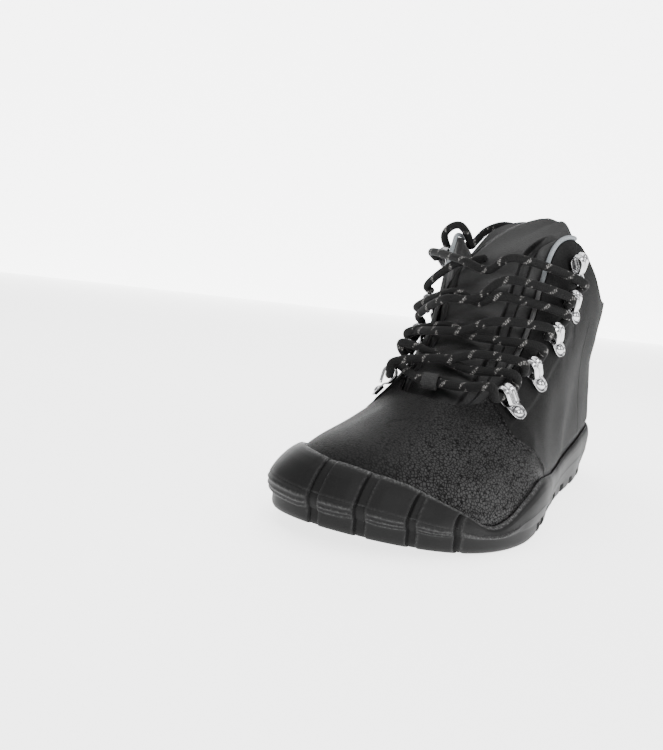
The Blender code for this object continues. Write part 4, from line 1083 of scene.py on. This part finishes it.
# The cup's inside face, against the upper, is painted fully dark: painted shade.
for share in (.9, .7, .4, 0):
    wall_rows.append(surface(wall_u, wall_top * share) + outward(wall_u, wall_top * share) * GAP)
    hollow_rows.append(np.ones_like(wall_u))
    wear_and_highlight_rows.append(np.zeros_like(wall_u))
dress(skin("sole_wall", np.array(wall_rows), rubber_finish,
           masks={"hollow": np.array(hollow_rows), "wear_and_highlight": np.array(wear_and_highlight_rows)}), "rubber", "sole")

# Tread: the cup's underside, with toe pads of curved ribs, four rows of three-cornered lugs and a
# smooth panel under the arch.
SPINE = (.14 * LENGTH, .71 * LENGTH)
RIB_PITCH = 0.0034
TREAD_ROWS = 76


def toe_ribs(x, y):
    """Fine curved ribs of the toe pads, as 0 to 1."""
    corner_x = TOE_GROOVE_START * LENGTH
    inner = np.hypot(x - corner_x, y + .080 * BALL_WIDTH)
    outer = np.hypot((x - corner_x) * 1.0, (y - .10 * BALL_WIDTH) * .8)
    radius = np.where(y < -.080 * BALL_WIDTH, inner, np.where(y < .268 * BALL_WIDTH, x - corner_x, outer))
    wave = .5 + .5 * np.cos(2 * math.pi * radius / RIB_PITCH)
    return ramp(wave, .25, .75)


tread_u = spaced([0.0, (27.0, 1100)])[:-1]
tread_level = level_normal(tread_u)
tread_foot = surface(tread_u, np.zeros_like(tread_u)) + tread_level * SIDE_WALL * .55
spine_x = np.clip(tread_foot[:, 0], *SPINE)
tread_rows, tread_hollow, tread_wear_and_highlight = [], [], []
for share in np.concatenate((np.linspace(1, .06, TREAD_ROWS), (.02, 0))):
    x = spine_x + (tread_foot[:, 0] - spine_x) * share
    y = tread_foot[:, 1] * share
    toe, cut, gap = toe_channels(x, y)
    channels = np.maximum(lug_channels(x, y), toe)
    inset = (1 - share) * np.hypot(tread_foot[:, 0] - spine_x, tread_foot[:, 1])
    past_border = x - TOE_GROOVE_START * LENGTH
    on_pads = ramp(past_border, .004, .006) * ramp(inset, .004, .006)
    fine_ribs = (1 - toe_ribs(x, y)) * on_pads * (1 - channels)
    rise = LUG_DEPTH * channels + .0011 * fine_ribs
    rise *= ramp(inset, -.001, .0008) if share < 1 else 0
    tread_rows.append(np.stack((x, y, ground(x, y) + rise + .0006 * (1 - ramp(inset, 0, .0016))), 1))
    # Channels and the gaps between the toe ribs are painted darker: painted shade.
    tread_hollow.append(np.clip(channels + fine_ribs * .6, 0, 1))
    tread_wear_and_highlight.append(np.zeros_like(x))
tread_edge = ground(tread_foot[:, 0], tread_foot[:, 1]) + LUG_DEPTH
tread_rows.insert(0, tread_foot * (1, 1, 0) + tread_edge[:, None] * (0, 0, 1) - tread_level * .0012)
tread_hollow.insert(0, np.ones_like(tread_u))
tread_wear_and_highlight.insert(0, np.zeros_like(tread_u))
tread_masks = {"hollow": np.array(tread_hollow)[::-1], "wear_and_highlight": np.array(tread_wear_and_highlight)[::-1]}
dress(skin("sole_tread", np.array(tread_rows)[::-1], rubber_finish, masks=tread_masks), "rubber", "sole")

# Insole: a thin foam board in dark fabric, laid in the cup.
INSOLE_THICKNESS = 0.003
insole_u = spaced([0.0, (27.0, 270)])[:-1]
insole_edge = surface(insole_u, np.zeros_like(insole_u)) - level_normal(insole_u) * (LEATHER + 2 * GAP)
insole_spine = np.clip(insole_edge[:, 0], *SPINE)
insole_rows = []
for share, lift in ((0, 0), (.5, 0), (.97, 0), (1, .25), (1, .75), (.97, 1), (.8, 1), (.6, 1), (.4, 1),
                    (.2, 1), (0, 1)):
    x = insole_spine + (insole_edge[:, 0] - insole_spine) * share
    y = insole_edge[:, 1] * share
    insole_rows.append(np.stack((x, y, ground(x, y) + SOLE_THICKNESS + GAP + INSOLE_THICKNESS * lift), 1))
insole_finish = Finish("insole fabric", Roughness=.95, Sheen_Weight=.3)
weave = insole_finish.cells(.0016, "F1", .2)
insole_finish.feed("Base Color", insole_finish.mix(weave.over(.1, .7), grey(.045), grey(.020)))
insole_finish.feed("Normal", insole_finish.bump(weave, .0002))
dress(skin("insole_board", np.array(insole_rows), insole_finish), "insole_fabric", "insole")

# Tongue: padded black leather that bulges between the lace's bars, with two sunk strips along it.
TONGUE_COLUMNS, TONGUE_ROWS = 128, 166
BULGE = 0.0030
STRIPS = ((.29, .045), (.80, .035))      # middles and half widths of the sunk strips, across the tongue
STRIP_DEPTH = 0.0022
BAR_SECTIONS = (BASE_SECTION, 2.33, 3.13, 3.93, 4.62)    # where the laces press the padding down


def spline_2d(table, s, t):
    """A smooth surface through a grid of points: s down the rows, t down the columns."""
    def along(values, places, axis):
        n = values.shape[axis]
        k = np.clip(np.floor(places).astype(int), 0, n - 2)
        f = (places - k).reshape([-1 if a == axis else 1 for a in range(values.ndim)])
        return between(*(np.take(values, np.clip(k + j, 0, n - 1), axis=axis) for j in (-1, 0, 1, 2)), f)
    return along(along(table, t, 1), s, 0)


section_table = np.array([[tuple(p) for p in section] for section in SECTIONS])
tongue_s = np.linspace(0, len(SECTIONS) - 1, TONGUE_ROWS)
tongue_t = np.linspace(0, 1, TONGUE_COLUMNS)
middle_sheet = spline_2d(section_table, tongue_s, tongue_t * (section_table.shape[1] - 1))
sheet_normal = unit(np.cross(np.gradient(middle_sheet, axis=1), np.gradient(middle_sheet, axis=0)))
if sheet_normal[TONGUE_ROWS // 2, TONGUE_COLUMNS // 2, 0] < 0:
    sheet_normal = -sheet_normal
s_map, t_map = np.meshgrid(tongue_s, tongue_t, indexing="ij")
bars = np.zeros_like(s_map)
for crossing in BAR_SECTIONS:
    bars = np.maximum(bars, np.exp(-((s_map - crossing) / .26) ** 2))
inside = ramp(t_map, .10, .26) * (1 - ramp(t_map, .74, .90))
bulge = BULGE * (1 - bars) * inside * ramp(s_map, 1.6, 2.2)
strip, strip_edge = np.zeros_like(t_map), np.zeros_like(t_map)
for place_across, half_width in STRIPS:
    off = np.abs(t_map - place_across)
    strip = np.maximum(strip, 1 - ramp(off, half_width * .6, half_width))
    strip_edge = np.maximum(strip_edge, np.exp(-((off - half_width) / .008) ** 2))
edge_round = np.sqrt(np.clip(np.minimum.reduce((t_map, 1 - t_map)) / .02, .02, 1)) * np.sqrt(
    np.clip((len(SECTIONS) - 1 - s_map) / .12, .02, 1))
half = TONGUE_THICKNESS / 2
on_strip = strip * ramp(s_map, 1.2, 1.6) * (1 - ramp(s_map, 5.2, 5.8))
front = (half + bulge * (1 - on_strip) - STRIP_DEPTH * on_strip) * edge_round
front_grid = middle_sheet + sheet_normal * front[..., None]
back_grid = middle_sheet - sheet_normal * (half * edge_round)[..., None]
tongue_leather = Finish("tongue leather", Roughness=.45, Specular_IOR_Level=.40)
strip_and_foot_shade = tongue_leather.mask("seam")
small_grain = tongue_leather.cells(.0009, "DISTANCE_TO_EDGE")
# The sunk strips, their edges and the tongue's foot under the keeper are painted darker: painted shade.
tongue_leather.feed("Base Color", tongue_leather.mix(strip_and_foot_shade * .85, grey(.0085), grey(.0015)))
tongue_leather.feed("Normal", tongue_leather.bump(small_grain.over(0, .2), .00006))
tongue_grid = np.concatenate((front_grid, back_grid[:, ::-1]), axis=1)
# Mask of the painted shade: the sunk strips, their edges and the foot under the keeper.
tongue_shade_mask = np.clip(on_strip + strip_edge * .4 + .9 * (1 - ramp(s_map, 1.5, 2.1)), 0, 1)
tongue_masks = {"seam": np.concatenate((tongue_shade_mask, 0 * tongue_shade_mask), axis=1)}
dress(skin("tongue_padding", tongue_grid, tongue_leather, capped=True, masks=tongue_masks),
      "tongue_leather", "tongue")

# Piping: grey reflective cord sewn along the throat's edges.
PIPING = 0.0026
piping_finish = Finish("grey piping", Roughness=.5)
thread = piping_finish.cells(.0006, "F1", .5)
height = piping_finish.node("ShaderNodeSeparateXYZ", {}, [piping_finish.spot()], "Z").over(.118, .138)
bright = piping_finish.mix(thread.over(.1, .8), (.27, .29, .305, 1), (.14, .155, .165, 1))
piping_finish.feed("Base Color", piping_finish.mix(height, grey(.035), bright))
piping_finish.feed("Normal", piping_finish.bump(thread, .00006))


def edge_point(u, beyond, depth):
    """A point off the opening's edge: so far beyond it and so deep under the leather's face."""
    along_edge = surface(u + .02, 1) - surface(u - .02, 1)
    off = np.cross(outward(u, 1), along_edge)
    off *= np.sign(off @ (surface(u, 1) - surface(u, .97))) / np.linalg.norm(off)
    return surface(u, 1) + off * beyond + outward(u, 1) * (relief(u, 1) - depth)


def round_bead(name, points, radius, finish, sides=20, step=.0008):
    path, places = even_path(smooth_path(points, 6), step)
    tangent, side, other = frames_along(path)
    angle = np.linspace(0, 2 * math.pi, sides, endpoint=False)
    end = np.minimum(places, places[-1] - places)
    thick = radius * np.sqrt(np.clip(end / radius + .05, 0, 1))
    ring = side[:, None] * np.cos(angle)[None, :, None] + other[:, None] * np.sin(angle)[None, :, None]
    return skin(name, path[:, None] + ring * thick[:, None, None], finish, capped=True)


for node, first, last in (("piping_lateral", 4.0, 8.7), ("piping_medial", 19.3, 23.4)):
    route = [edge_point(u, 2 * GAP + PIPING / 2, LEATHER * .5) for u in np.arange(first, last, 1 / 6)]
    dress(round_bead(node + "_cord", route, PIPING / 2, piping_finish), "reflective_piping", node)

# Keeper: a band of black webbing that holds the lace's lowest bar to the vamp.
webbing_finish = Finish("black webbing", Roughness=.85)
rib_wave = webbing_finish.cells(.0010, "F1", .1)
webbing_finish.feed("Base Color", webbing_finish.mix(rib_wave.over(.1, .7), grey(.020), grey(.007)))
webbing_finish.feed("Normal", webbing_finish.bump(rib_wave, .0002))
base_path, _ = even_path(smooth_path(base_run, 8), .0005)
middle = len(base_path) // 2
line = unit(base_path[middle + 2] - base_path[middle - 2])
normal_there = np.array(tongue_point(1.65, .5)[1])
normal_there = unit(normal_there - line * (normal_there @ line))
cross_there = np.cross(normal_there, line)
band_rows = []
KEEPER_HALF, KEEPER_INNER, KEEPER_OUTER = .004, LACE / 2 + 2 * GAP, LACE / 2 + 4 * GAP + .001
for t in np.linspace(-KEEPER_HALF, KEEPER_HALF, 14):
    ring = []
    for r, angles in ((KEEPER_OUTER, range(-20, 201, 10)), (KEEPER_INNER, range(200, -21, -10))):
        for a in angles:
            shrink = 1 - .02 * (abs(t) / KEEPER_HALF) ** 6
            ring.append(base_path[middle] + line * t + cross_there * r * shrink * math.cos(math.radians(a))
                        + normal_there * r * shrink * math.sin(math.radians(a)))
    band_rows.append(ring)
dress(skin("lace_keeper_band", np.array(band_rows), webbing_finish, capped=True), "webbing", "lace_keeper")
